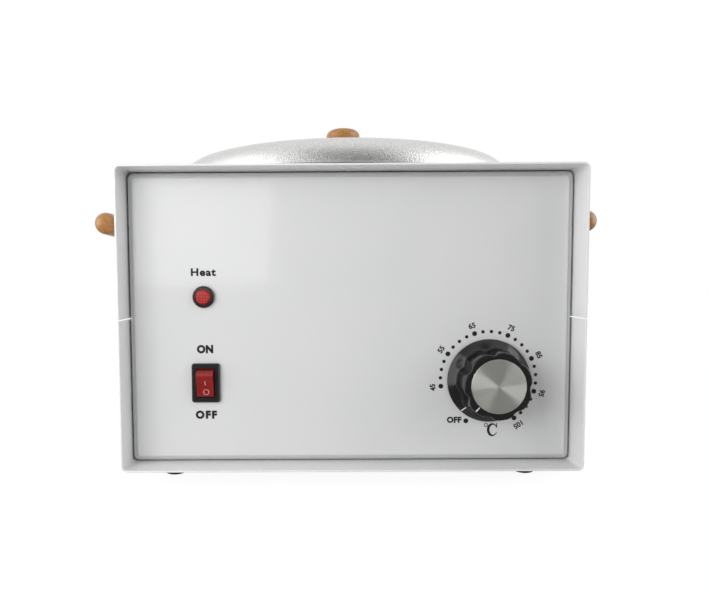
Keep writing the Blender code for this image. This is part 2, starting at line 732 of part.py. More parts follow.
def make_well_nut():
    """Flange nut under the floor of the tray."""
    washer = prism(circle(WELL_WASHER_RADIUS, SMALL_STEPS), 0, WELL_WASHER)
    nut = piece("well_nut", washer, ZINC_STEEL, (0, 0, CASE_BASE_Z - SEAT_GAP), DOWN)
    hexagon_top = WELL_WASHER + WELL_NUT_HEIGHT
    fuse(nut, prism(hexagon(WELL_NUT_ACROSS), WELL_WASHER / 2, hexagon_top), nut.location, DOWN)
    bore = circle(STUD_RADIUS + HOLE_CLEARANCE, SMALL_STEPS)
    cut(nut, prism(bore, -CUT_OVERRUN, hexagon_top + CUT_OVERRUN), nut.location, DOWN)


def make_band():
    """Split band heater with two clamp ears at the back, and its clamp screw."""
    slit = BAND_SLIT / BAND_MID_RADIUS
    profile = [
        (BAND_INNER_RADIUS, 0),
        (BAND_OUTER_RADIUS, 0),
        (BAND_OUTER_RADIUS, BAND_HEIGHT),
        (BAND_INNER_RADIUS, BAND_HEIGHT),
    ]
    ring = turned(profile, SPIN_STEPS, closed=True, sweep=FULL_TURN - slit)
    start = QUARTER + slit / 2
    band = piece("heater_band", ring, MICA_STEEL, (0, 0, BAND_BASE_Z), (0, 0, start))
    middle = BAND_HEIGHT / 2
    low = middle - BAND_EAR_HEIGHT / 2
    high = middle + BAND_EAR_HEIGHT / 2
    ear_y = BAND_MID_RADIUS + BAND_EAR_LENGTH / 2
    screw_y = BAND_OUTER_RADIUS + BAND_EAR_LENGTH / 2
    for side in (-1, 1):
        ear_x = side * (BAND_SLIT / 2 + BAND_EAR_THICKNESS)
        ear = block(BAND_EAR_THICKNESS, BAND_EAR_LENGTH + BAND_THICKNESS / 2, low, high, (ear_x, ear_y))
        fuse(band, ear, (0, 0, BAND_BASE_Z))
    bore = prism(circle(BAND_SCREW_RADIUS + HOLE_CLEARANCE, SCREW_STEPS), -BAND_SLIT, BAND_SLIT)
    cut(band, bore, (0, screw_y, BAND_BASE_Z + middle), RIGHT)
    head = BAND_SLIT / 2 + 3 * BAND_EAR_THICKNESS / 2 + SEAT_GAP
    length = 2 * head
    profile = screw_profile(BAND_HEAD_RADIUS, BAND_HEAD_HEIGHT, BAND_SCREW_RADIUS, length)
    place = (head, screw_y, BAND_BASE_Z + middle)
    piece("band_screw", turned(profile, SCREW_STEPS), ZINC_STEEL, place, RIGHT)


def make_jacket():
    """Glass-fibre jacket, open at the back where the clamp ears stand out."""
    profile = [
        (JACKET_INNER_RADIUS, 0),
        (JACKET_OUTER_RADIUS, 0),
        (JACKET_OUTER_RADIUS, JACKET_HEIGHT),
        (JACKET_INNER_RADIUS, JACKET_HEIGHT),
    ]
    slit = JACKET_SLIT / JACKET_INNER_RADIUS
    ring = turned(profile, SPIN_STEPS, closed=True, sweep=FULL_TURN - slit)
    start = QUARTER + slit / 2
    piece("insulation_jacket", ring, GLASS_FIBRE, (0, 0, JACKET_BASE_Z), (0, 0, start))


# Pot and lid
def make_pot():
    """Spun aluminium pot whose beaded rim rests on the well's flange."""
    outer = WELL_INNER_RADIUS - POT_SIDE_CLEARANCE
    inner = outer - POT_WALL
    base = WELL_FLOOR_Z + POT_FLOOR_CLEARANCE
    seat = WELL_RIM_Z + SEAT_GAP
    rim_top = seat + POT_WALL
    bead_centre = (POT_RIM_RADIUS - POT_BEAD_RADIUS, seat + POT_BEAD_RADIUS)
    lip_centre = (inner + POT_LIP_RADIUS, rim_top - POT_LIP_RADIUS)
    inner_corner = POT_CORNER_RADIUS - POT_WALL
    profile = [(0, base)]
    profile += arc((outer - POT_CORNER_RADIUS, base + POT_CORNER_RADIUS), POT_CORNER_RADIUS, -90, 0)
    profile += [(outer, seat)]
    profile += arc(bead_centre, POT_BEAD_RADIUS, -90, 150, ARC_STEPS + 2)
    profile += arc(lip_centre, POT_LIP_RADIUS, 90, 180)
    profile += arc((inner - inner_corner, base + POT_CORNER_RADIUS), inner_corner, 0, -90)
    profile += [(0, base + POT_WALL)]
    return piece("wax_pot", turned(profile, SPIN_STEPS), SPUN_ALUMINIUM)


def lid_curve(radius, shoulder_width, shoulder_height, crown, shoulder_z, steps):
    """A lid's surface from its centre, over the crown, down the elliptical shoulder."""
    flat = radius - shoulder_width
    top = shoulder_z + shoulder_height
    points = []
    for step in range(ARC_STEPS):
        share = step / ARC_STEPS
        points.append((flat * share, top + crown * (1 - share * share)))
    for step in range(steps + 1):
        angle = QUARTER * (1 - step / steps)
        across = shoulder_width * math.cos(angle)
        up = shoulder_height * math.sin(angle)
        points.append((flat + across, shoulder_z + up))
    return points


def lid_crown_z():
    """Height of the lid's outer face at its centre."""
    return WELL_RIM_Z + SEAT_GAP + LID_BEAD_RADIUS + LID_SHOULDER_HEIGHT + LID_CROWN


def make_lid():
    """Spun lid with a crowned top, a round shoulder and a curled rim."""
    steps = ARC_STEPS + 2
    shoulder_z = WELL_RIM_Z + SEAT_GAP + LID_BEAD_RADIUS
    outer = lid_curve(LID_RADIUS, LID_SHOULDER_WIDTH, LID_SHOULDER_HEIGHT, LID_CROWN, shoulder_z, steps)
    inner = lid_curve(
        LID_RADIUS - LID_WALL,
        LID_SHOULDER_WIDTH - LID_WALL,
        LID_SHOULDER_HEIGHT - LID_WALL,
        LID_CROWN,
        shoulder_z,
        ARC_STEPS,
    )
    bead = arc((LID_RADIUS - LID_BEAD_RADIUS, shoulder_z), LID_BEAD_RADIUS, 0, -180, ARC_STEPS + 1)[1:]
    bead.append((LID_RADIUS - LID_WALL, shoulder_z + LID_BEAD_RADIUS))
    inside = [point for point in reversed(inner) if point[1] > shoulder_z + LID_BEAD_RADIUS]
    lid = piece("lid", turned(outer + bead + inside, SPIN_STEPS), SPUN_ALUMINIUM)
    bore = circle(LID_SCREW_RADIUS + HOLE_CLEARANCE, SCREW_STEPS)
    crown_z = lid_crown_z()
    cut(lid, prism(bore, crown_z - LID_WALL - CUT_OVERRUN, crown_z + CUT_OVERRUN))


def make_lid_knob():
    """Turned wood knob with a waist and a soft domed top, held by a screw from inside the lid."""
    base = lid_crown_z() + SEAT_GAP
    edge_z = KNOB_HEIGHT - KNOB_CROWN - KNOB_EDGE_RADIUS
    profile = [
        (0, 0),
        (KNOB_BASE_RADIUS, 0),
        (KNOB_NECK_RADIUS, KNOB_NECK_HEIGHT),
        (KNOB_RADIUS - KNOB_CROWN, KNOB_WAIST_HEIGHT),
        (KNOB_RADIUS, (KNOB_WAIST_HEIGHT + edge_z) / 2),
    ]
    profile += arc((KNOB_RADIUS - KNOB_EDGE_RADIUS, edge_z), KNOB_EDGE_RADIUS, 0, 80)
    profile += [(0, KNOB_HEIGHT)]
    knob = piece("lid_knob", turned(profile, KNOB_STEPS), BEECH, (0, 0, base))
    bore_depth = LID_SCREW_LENGTH - LID_WALL
    bore = circle(LID_SCREW_RADIUS + HOLE_CLEARANCE, SCREW_STEPS)
    cut(knob, prism(bore, -CUT_OVERRUN, bore_depth), (0, 0, base))
    profile = screw_profile(
        LID_SCREW_HEAD_RADIUS, LID_SCREW_HEAD_HEIGHT, LID_SCREW_RADIUS, LID_SCREW_LENGTH
    )
    seat = (0, 0, lid_crown_z() - LID_WALL - SEAT_GAP)
    piece("lid_screw", turned(profile, SCREW_STEPS), ZINC_STEEL, seat, DOWN)


# Handles
def make_handles():
    """Wood grips on posts whose studs pass through the hood, each with a nut inside."""
    half = GRIP_LENGTH / 2
    body = half - GRIP_END_RADIUS
    end = arc((0, body), GRIP_END_RADIUS, 90, 0)
    swell = (GRIP_RADIUS + GRIP_END_RADIUS) / 2
    profile = end + [(swell, body / 2), (GRIP_RADIUS, 0), (swell, -body / 2)]
    profile += [(radius, -along) for radius, along in reversed(end)]
    wall = CASE_WIDTH / 2
    post_profile = [
        (0, -SHEET - POST_STUD_LENGTH),
        (POST_STUD_RADIUS, -SHEET - POST_STUD_LENGTH),
        (POST_STUD_RADIUS, SEAT_GAP),
        (POST_COLLAR_RADIUS, SEAT_GAP),
        (POST_COLLAR_RADIUS, SEAT_GAP + POST_COLLAR_LENGTH),
        (POST_RADIUS, SEAT_GAP + POST_COLLAR_LENGTH + POST_COLLAR_RADIUS - POST_RADIUS),
        (POST_RADIUS, GRIP_STANDOFF - GRIP_RADIUS),
        (POST_SPIGOT_RADIUS, GRIP_STANDOFF - GRIP_RADIUS),
        (POST_SPIGOT_RADIUS, GRIP_STANDOFF - GRIP_RADIUS + POST_SPIGOT_LENGTH),
        (0, GRIP_STANDOFF - GRIP_RADIUS + POST_SPIGOT_LENGTH),
    ]
    for side, hand, turn in ((-1, "left", LEFT), (1, "right", RIGHT)):
        centre = (side * (wall + GRIP_STANDOFF), 0, GRIP_Z)
        grip = piece(f"handle_grip_{hand}", turned(profile, SMALL_STEPS), BEECH, centre, FRONT)
        for end_name, y in (("front", -POST_SPACING / 2), ("rear", POST_SPACING / 2)):
            foot = (side * wall, y, GRIP_Z)
            post = turned(post_profile, SCREW_STEPS)
            piece(f"handle_post_{end_name}_{hand}", post, ZINC_STEEL, foot, turn)
            seat_radius = POST_RADIUS + SEAT_GAP
            seat_flat = GRIP_STANDOFF - GRIP_RADIUS + SEAT_GAP
            cut(grip, prism(circle(seat_radius, SCREW_STEPS), -CUT_OVERRUN, seat_flat), foot, turn)
            bore = circle(POST_SPIGOT_RADIUS + HOLE_CLEARANCE, SCREW_STEPS)
            depth = seat_flat + POST_SPIGOT_LENGTH
            cut(grip, prism(bore, 0, depth), foot, turn)
            nut_face = -SHEET - SEAT_GAP
            nut = prism(hexagon(POST_NUT_ACROSS), nut_face - POST_NUT_HEIGHT, nut_face)
            nut = piece(f"handle_nut_{end_name}_{hand}", nut, ZINC_STEEL, foot, turn)
            bore = circle(POST_STUD_RADIUS + HOLE_CLEARANCE, SCREW_STEPS)
            hole = prism(bore, nut_face - POST_NUT_HEIGHT - CUT_OVERRUN, nut_face + CUT_OVERRUN)
            cut(nut, hole, foot, turn)


# Dial
def lobed_ring(outer_radius, depth, height):
    """One ring of the grip: round lobes parted by narrow flutes, a lobe at the pointer."""
    count = DIAL_LOBES * LOBE_STEPS
    points = []
    for index in range(count):
        angle = FULL_TURN * index / count
        wave = math.cos(DIAL_LOBES * angle)
        flute = ((1 - wave) / 2) ** 3
        radius = outer_radius - depth * flute
        points.append((radius * math.sin(angle), radius * math.cos(angle), height))
    return points


def spindle_outline(radius, flat):
    """A circle with one flat, for the spindle and its bore."""
    half = math.degrees(math.acos(flat / radius))
    return arc((0, 0), radius, 90 + half, 450 - half, SMALL_STEPS)


def make_dial():
    """Skirted knob, its metal cap and the spindle, on one turning axis."""
    axis = bpy.data.objects.new("dial_axis", None)
    axis.location = (DIAL_X, PANEL_FRONT_Y, DIAL_Z)
    axis.rotation_mode = "ZYX"
    axis.rotation_euler = (QUARTER, 0, math.radians(DIAL_REST_DEGREES))
    axis.parent = bath
    bpy.context.collection.objects.link(axis)
    base = OVERLAY_FACE + DIAL_PANEL_CLEARANCE
    skirt = base + DIAL_SKIRT_EDGE
    grip = skirt + DIAL_SKIRT_RISE
    top = grip + DIAL_GRIP_LENGTH
    rings = [
        lobed_ring(DIAL_SKIRT_RADIUS, 0, base),
        lobed_ring(DIAL_SKIRT_RADIUS, 0, skirt),
        lobed_ring(DIAL_LOBE_BASE_RADIUS, DIAL_FLUTE_DEPTH, grip),
        lobed_ring(DIAL_LOBE_TOP_RADIUS, DIAL_FLUTE_DEPTH, top - DIAL_TOP_CHAMFER),
        lobed_ring(DIAL_LOBE_TOP_RADIUS - DIAL_TOP_CHAMFER, DIAL_FLUTE_DEPTH / 2, top),
    ]
    knob = piece("dial_knob", lofted(rings), BLACK_BAKELITE, parent=axis)
    recess = [
        (DIAL_HUB_RADIUS, base - CUT_OVERRUN),
        (DIAL_RECESS_RADIUS, base - CUT_OVERRUN),
        (DIAL_RECESS_RADIUS, base + DIAL_RECESS_DEPTH),
        (DIAL_HUB_RADIUS, base + DIAL_RECESS_DEPTH),
    ]
    cut(knob, turned(recess, KNOB_STEPS, closed=True), parent=axis)
    cap_base = top - DIAL_CAP_DEPTH
    seat = circle(DIAL_CAP_RADIUS + SEAT_GAP, SPIN_STEPS)
    cut(knob, prism(seat, cap_base, top + CUT_OVERRUN), parent=axis)
    bore_end = base + DIAL_BORE_DEPTH
    bore = spindle_outline(SPINDLE_RADIUS + HOLE_CLEARANCE, SPINDLE_FLAT + HOLE_CLEARANCE)
    cut(knob, prism(bore, base - CUT_OVERRUN, bore_end), parent=axis)
    cap_base += SEAT_GAP
    cap_face = cap_base + DIAL_CAP_THICKNESS
    profile = [
        (0, cap_base),
        (DIAL_CAP_RADIUS, cap_base),
        (DIAL_CAP_RADIUS, cap_face - DIAL_CAP_CROWN),
        (DIAL_CAP_RADIUS - DIAL_CAP_CROWN, cap_face),
        (0, cap_face + DIAL_CAP_CROWN),
    ]
    piece("dial_cap", turned(profile, SPIN_STEPS), CAP_ALUMINIUM, parent=axis)
    start = -SHEET - SEAT_GAP - BRACKET_THICKNESS - THERMOSTAT_CORNER
    shaft = prism(circle(SPINDLE_RADIUS, SMALL_STEPS), start, bore_end - SEAT_GAP)
    spindle = piece("thermostat_spindle", shaft, ZINC_STEEL, parent=axis)
    across = 2 * SPINDLE_RADIUS
    flat_y = SPINDLE_FLAT + across / 2
    cut(spindle, block(across, across, 0, bore_end + CUT_OVERRUN, (0, flat_y)), parent=axis)


def add_blade(target, at, turn, base, upright=True):
    """A push-on blade terminal standing out of a housing."""
    width = BLADE_THICKNESS if upright else BLADE_WIDTH
    height = BLADE_WIDTH if upright else BLADE_THICKNESS
    fuse(target, block(width, height, base - CUT_OVERRUN, base + BLADE_LENGTH), at, turn)


def thermostat_blades():
    """X and Z of the thermostat's two blade terminals."""
    z = DIAL_Z - THERMOSTAT_BLADE_DROP
    return [(DIAL_X + side * THERMOSTAT_BLADE_SPACING / 2, z) for side in (-1, 1)]


def thermostat_back_y():
    """Y of the thermostat housing's rear face."""
    return PANEL_BACK_Y + SEAT_GAP + BRACKET_THICKNESS + THERMOSTAT_DEPTH


def make_thermostat():
    """Thermostat housing on its bracket, held by two screws under the knob."""
    seat = (DIAL_X, PANEL_BACK_Y + SEAT_GAP, DIAL_Z)
    plate = prism(
        rounded_rectangle(BRACKET_WIDTH, BRACKET_HEIGHT, THERMOSTAT_CORNER), 0, BRACKET_THICKNESS
    )
    body = piece("thermostat_body", plate, CREAM_NYLON, seat, BACK)
    housing = rounded_rectangle(THERMOSTAT_WIDTH, THERMOSTAT_HEIGHT, THERMOSTAT_CORNER)
    depth = BRACKET_THICKNESS + THERMOSTAT_DEPTH
    fuse(body, prism(housing, BRACKET_THICKNESS / 2, depth), seat, BACK)
    for x, z in thermostat_blades():
        add_blade(body, (x, thermostat_back_y(), z), BACK, 0)
    bore = prism(
        circle(SPINDLE_RADIUS + HOLE_CLEARANCE, SMALL_STEPS),
        -CUT_OVERRUN,
        BRACKET_THICKNESS + THERMOSTAT_CORNER + SEAT_GAP,
    )
    cut(body, bore, seat, BACK)
    profile = screw_profile(
        THERMOSTAT_SCREW_HEAD_RADIUS,
        THERMOSTAT_SCREW_HEAD_HEIGHT,
        THERMOSTAT_SCREW_RADIUS,
        THERMOSTAT_SCREW_LENGTH,
    )
    for side, hand in ((-1, "left"), (1, "right")):
        x = DIAL_X + side * THERMOSTAT_SCREW_SPACING / 2
        hole = circle(THERMOSTAT_SCREW_RADIUS + HOLE_CLEARANCE, SCREW_STEPS)
        cut(body, prism(hole, -CUT_OVERRUN, THERMOSTAT_SCREW_LENGTH), (x, seat[1], DIAL_Z), BACK)
        face = (x, PANEL_FRONT_Y - SEAT_GAP, DIAL_Z)
        piece(f"thermostat_screw_{hand}", turned(profile, SCREW_STEPS), ZINC_STEEL, face, FRONT)


def bulb_z():
    """Height of the bulb's axis, just under the well."""
    return WELL_UNDERSIDE_Z - SEAT_GAP - BULB_RADIUS


def make_bulb():
    """Sensing bulb under the well, and the strap that holds it there."""
    half = BULB_LENGTH / 2
    nose = BULB_RADIUS / 2
    profile = [
        (0, -half),
        (BULB_RADIUS - nose, -half),
        (BULB_RADIUS, nose - half),
        (BULB_RADIUS, half - nose),
        (BULB_RADIUS - nose, half),
        (0, half),
    ]
    place = (BULB_X, BULB_Y, bulb_z())
    piece("capillary_bulb", turned(profile, SCREW_STEPS), COPPER, place, RIGHT)
    reach = BULB_RADIUS + SEAT_GAP
    outside = reach + CLIP_THICKNESS
    seat = bulb_z() + BULB_RADIUS
    leg = seat - CLIP_THICKNESS
    strap = [(-outside - CLIP_LEG, seat), (-outside - CLIP_LEG, leg), (-outside, leg)]
    strap += arc((0, bulb_z()), outside, 180, 360, 2 * ARC_STEPS)
    strap += [(outside, leg), (outside + CLIP_LEG, leg), (outside + CLIP_LEG, seat), (reach, seat)]
    strap += arc((0, bulb_z()), reach, 360, 180, 2 * ARC_STEPS)
    strap += [(-reach, seat)]
    bm = prism(strap, -CLIP_WIDTH / 2, CLIP_WIDTH / 2)
    piece("bulb_clip", bm, ZINC_STEEL, (BULB_X, BULB_Y, 0), (QUARTER, 0, QUARTER))


# Rocker switch
def rocker_outline():
    """Side outline of the rocker about its pivot: a disc with a dished face and a flat underside."""
    slope = math.radians(ROCKER_FACE_SLOPE_DEGREES)
    ridge = slope + math.asin(ROCKER_FACE_HEIGHT * math.cos(slope) / ROCKER_RADIUS)
    base = math.asin(ROCKER_UNDERSIDE / ROCKER_RADIUS)
    right = arc((0, 0), ROCKER_RADIUS, -math.degrees(base), math.degrees(ridge), 2 * ARC_STEPS)
    left = [(-x, y) for x, y in reversed(right)]
    return right + [(0, ROCKER_FACE_HEIGHT)] + left


def switch_flange_face():
    """How far the switch's flange stands in front of the panel."""
    return OVERLAY_FACE + SEAT_GAP + SWITCH_FLANGE


def switch_blades():
    """Z of the switch's three blade terminals, top first."""
    return [SWITCH_Z + step * SWITCH_BLADE_SPACING for step in (1, 0, -1)]


def make_switch():
    """Rocker switch: a flanged housing with a round pocket, and the rocker in it."""
    face = switch_flange_face()
    at = (SWITCH_X, PANEL_FRONT_Y, SWITCH_Z)
    outline = rounded_rectangle(SWITCH_WIDTH, SWITCH_LENGTH, SWITCH_CORNER, 1)
    flange = prism(outline, face - SWITCH_FLANGE, face)
    round_edges(flange, face, SWITCH_FLANGE_CHAMFER, 1)
    body = piece("switch_body", flange, BLACK_NYLON, at, FRONT)
    housing = rounded_rectangle(SWITCH_HOUSING_WIDTH, SWITCH_HOUSING_LENGTH, SWITCH_CORNER, 1)
    fuse(body, prism(housing, -SWITCH_HOUSING_DEPTH, face - SWITCH_FLANGE / 2), at, FRONT)
    for z in switch_blades():
        add_blade(body, (SWITCH_X, PANEL_FRONT_Y + SWITCH_HOUSING_DEPTH, z), BACK, 0, upright=False)
    pivot = (SWITCH_X, PANEL_FRONT_Y - face + ROCKER_PIVOT_DEPTH, SWITCH_Z)
    half = ROCKER_WIDTH / 2 + SEAT_GAP
    pocket = prism(circle(ROCKER_RADIUS + SEAT_GAP, KNOB_STEPS), -half, half)
    cut(body, pocket, pivot, RIGHT)
    rocker = prism(rocker_outline(), -ROCKER_WIDTH / 2, ROCKER_WIDTH / 2)
    # Its own X runs up the panel, its own Y out of it; at rest the top end stands out
    tilt = bpy.data.objects.new("rocker_axis", None)
    tilt.location = pivot
    tilt.rotation_euler = (math.radians(ROCKER_TILT_DEGREES), 0, 0)
    tilt.parent = bath
    bpy.context.collection.objects.link(tilt)
    piece("switch_rocker", rocker, RED_LENS, turn=(HALF_TURN, -QUARTER, 0), parent=tilt)


# Lamp
def make_lamp():
    """Red lens with a flange and a raised button, and the holder that its neck screws into."""
    at = (LAMP_X, PANEL_FRONT_Y, LAMP_Z)
    back = OVERLAY_FACE + SEAT_GAP
    rim = back + LAMP_FLANGE
    button = rim + LAMP_BUTTON_HEIGHT
    profile = [
        (0, -LAMP_NECK_LENGTH),
        (LAMP_NECK_RADIUS, -LAMP_NECK_LENGTH),
        (LAMP_NECK_RADIUS, back),
        (LAMP_FLANGE_RADIUS, back),
        (LAMP_FLANGE_RADIUS, rim - LAMP_BUTTON_BEVEL),
        (LAMP_FLANGE_RADIUS - LAMP_BUTTON_BEVEL, rim),
        (LAMP_BUTTON_RADIUS, rim),
        (LAMP_BUTTON_RADIUS, button - LAMP_BUTTON_BEVEL),
        (LAMP_BUTTON_RADIUS - LAMP_BUTTON_BEVEL, button),
        (0, button),
    ]
    piece("lamp_lens", turned(profile, SMALL_STEPS), RED_LENS, at, FRONT)
    collar = SHEET + SEAT_GAP
    bore = LAMP_NECK_RADIUS + HOLE_CLEARANCE
    end = collar + LAMP_HOLDER_LENGTH
    pin_end = end + LAMP_PIN_LENGTH
    profile = [
        (0, -LAMP_NECK_LENGTH - SEAT_GAP),
        (bore, -LAMP_NECK_LENGTH - SEAT_GAP),
        (bore, -collar),
        (LAMP_COLLAR_RADIUS, -collar),
        (LAMP_COLLAR_RADIUS, -collar - LAMP_COLLAR),
        (LAMP_HOLDER_RADIUS, -collar - LAMP_COLLAR),
        (LAMP_HOLDER_RADIUS, -end),
        (LAMP_PIN_RADIUS, -end),
        (LAMP_PIN_RADIUS, -pin_end),
        (0, -pin_end),
    ]
    piece("lamp_body", turned(profile, SMALL_STEPS), BLACK_NYLON, at, FRONT)


# Mains inlet and terminal block
def inlet_pins():
    """Sideways and upward offset of each pin in the mouth."""
    half = INLET_PIN_SPACING / 2
    low = INLET_EARTH_RISE / 2
    return [(-half, -low), (0, low), (half, -low)]


def make_inlet():
    """Mains inlet: a flanged housing with a keyed mouth and three pins."""
    at = (INLET_X, -PANEL_FRONT_Y, INLET_Z)
    plate = rounded_rectangle(INLET_FLANGE_LENGTH, INLET_FLANGE_HEIGHT, INLET_FLANGE_CORNER)
    face = SEAT_GAP + INLET_FLANGE
    socket = piece("inlet_socket", prism(plate, SEAT_GAP, face), BLACK_NYLON, at, BACK)
    body = rounded_rectangle(INLET_BODY_WIDTH, INLET_BODY_HEIGHT, INLET_FLANGE_CORNER / 2, 1)
    fuse(socket, prism(body, -INLET_BODY_DEPTH, face - INLET_FLANGE / 2), at, BACK)
    across = INLET_MOUTH_WIDTH / 2
    up = INLET_MOUTH_HEIGHT / 2
    key = INLET_MOUTH_CHAMFER
    mouth = [(across, -up), (across, up - key), (across - key, up)]
    mouth += [(-x, y) for x, y in reversed(mouth)]
    floor = face - INLET_MOUTH_DEPTH
    cut(socket, prism(mouth, floor, face + CUT_OVERRUN), at, BACK)
    for x, y in inlet_pins():
        pin_end = floor + INLET_PIN_LENGTH
        pin = block(INLET_PIN_THICKNESS, INLET_PIN_WIDTH, floor - CUT_OVERRUN, pin_end, (x, y))
        fuse(socket, pin, at, BACK)
        rear = CUT_OVERRUN - INLET_BODY_DEPTH
        blade_end = -INLET_BODY_DEPTH - BLADE_LENGTH
        fuse(socket, block(BLADE_THICKNESS, BLADE_WIDTH, blade_end, rear, (x, y)), at, BACK)
    profile = screw_profile(
        INLET_SCREW_HEAD_RADIUS, INLET_SCREW_HEAD_HEIGHT, INLET_SCREW_RADIUS, INLET_SCREW_LENGTH
    )
    for side, hand in ((-1, "left"), (1, "right")):
        x = INLET_X + side * INLET_SCREW_SPACING / 2
        hole = circle(INLET_SCREW_RADIUS + HOLE_CLEARANCE, SCREW_STEPS)
        cut(socket, prism(hole, -CUT_OVERRUN, face + CUT_OVERRUN), (x, at[1], INLET_Z), BACK)
        seat = (x, at[1] + face + SEAT_GAP, INLET_Z)
        piece(f"inlet_screw_{hand}", turned(profile, SCREW_STEPS), ZINC_STEEL, seat, BACK)


def block_way_x(index):
    """X of one way of the terminal block."""
    pitch = BLOCK_LENGTH / BLOCK_WAYS
    return BLOCK_X + (index - (BLOCK_WAYS - 1) / 2) * pitch


def make_block():
    """Three-way terminal block on the floor of the tray."""
    base = FLOOR_Z + SEAT_GAP
    outline = rounded_rectangle(BLOCK_LENGTH, BLOCK_WIDTH, BLOCK_EDGE, 1)
    body = piece("terminal_block", prism(outline, 0, BLOCK_HEIGHT), CREAM_NYLON, (BLOCK_X, BLOCK_Y, base))
    reach = BLOCK_WIDTH / 2 + CUT_OVERRUN
    for index in range(BLOCK_WAYS):
        x = block_way_x(index)
        way = prism(circle(BLOCK_WAY_RADIUS, SCREW_STEPS), -reach, reach)
        cut(body, way, (x, BLOCK_Y, base + BLOCK_HEIGHT / 2), FRONT)
        well = prism(circle(BLOCK_SCREW_WELL_RADIUS, SCREW_STEPS), -BLOCK_SCREW_WELL_DEPTH, CUT_OVERRUN)
        cut(body, well, (x, BLOCK_Y, base + BLOCK_HEIGHT))


# Internal wiring
def smooth_route(points):
    """A curve through the points with straight ends, its steps shorter where it bends."""
    knots = [Vector(point) for point in points]
    headings = [(after - before) / 2 for before, after in zip(knots, knots[2:])]
    headings = [knots[1] - knots[0]] + headings + [knots[-1] - knots[-2]]
    headings[1] = headings[0].normalized() * headings[1].length
    headings[-2] = headings[-1].normalized() * headings[-2].length
    route = [knots[0]]
    for start, end, leave, arrive in zip(knots, knots[1:], headings, headings[1:]):
        bend = (end - start).angle(leave) + (end - start).angle(arrive)
        count = max(1, round(math.degrees(bend) / ROUTE_BEND_DEGREES))
        curved = interpolate_bezier(start, start + leave / 3, end - arrive / 3, end, count + 1)
        route += curved[1:]
    return route


def tube(name, points, radius, material):
    """A round wire or pipe along a route."""
    route = smooth_route(points)
    curve = bpy.data.curves.new(name, "CURVE")
    curve.dimensions = "3D"
    curve.bevel_depth = radius
    curve.bevel_resolution = TUBE_BEVEL_RESOLUTION
    curve.use_fill_caps = True
    spline = curve.splines.new("POLY")
    spline.points.add(len(route) - 1)
    for knot, point in zip(spline.points, route):
        knot.co = (*point, 1)
    curve.materials.append(material)
    wire = bpy.data.objects.new(name, curve)
    wire.parent = bath
    bpy.context.collection.objects.link(wire)


def on_band(degrees):
    """X and Y of a point in the middle of the band heater's wall."""
    angle = math.radians(degrees)
    radius = BAND_MID_RADIUS + SEAT_GAP
    return radius * math.cos(angle), radius * math.sin(angle)


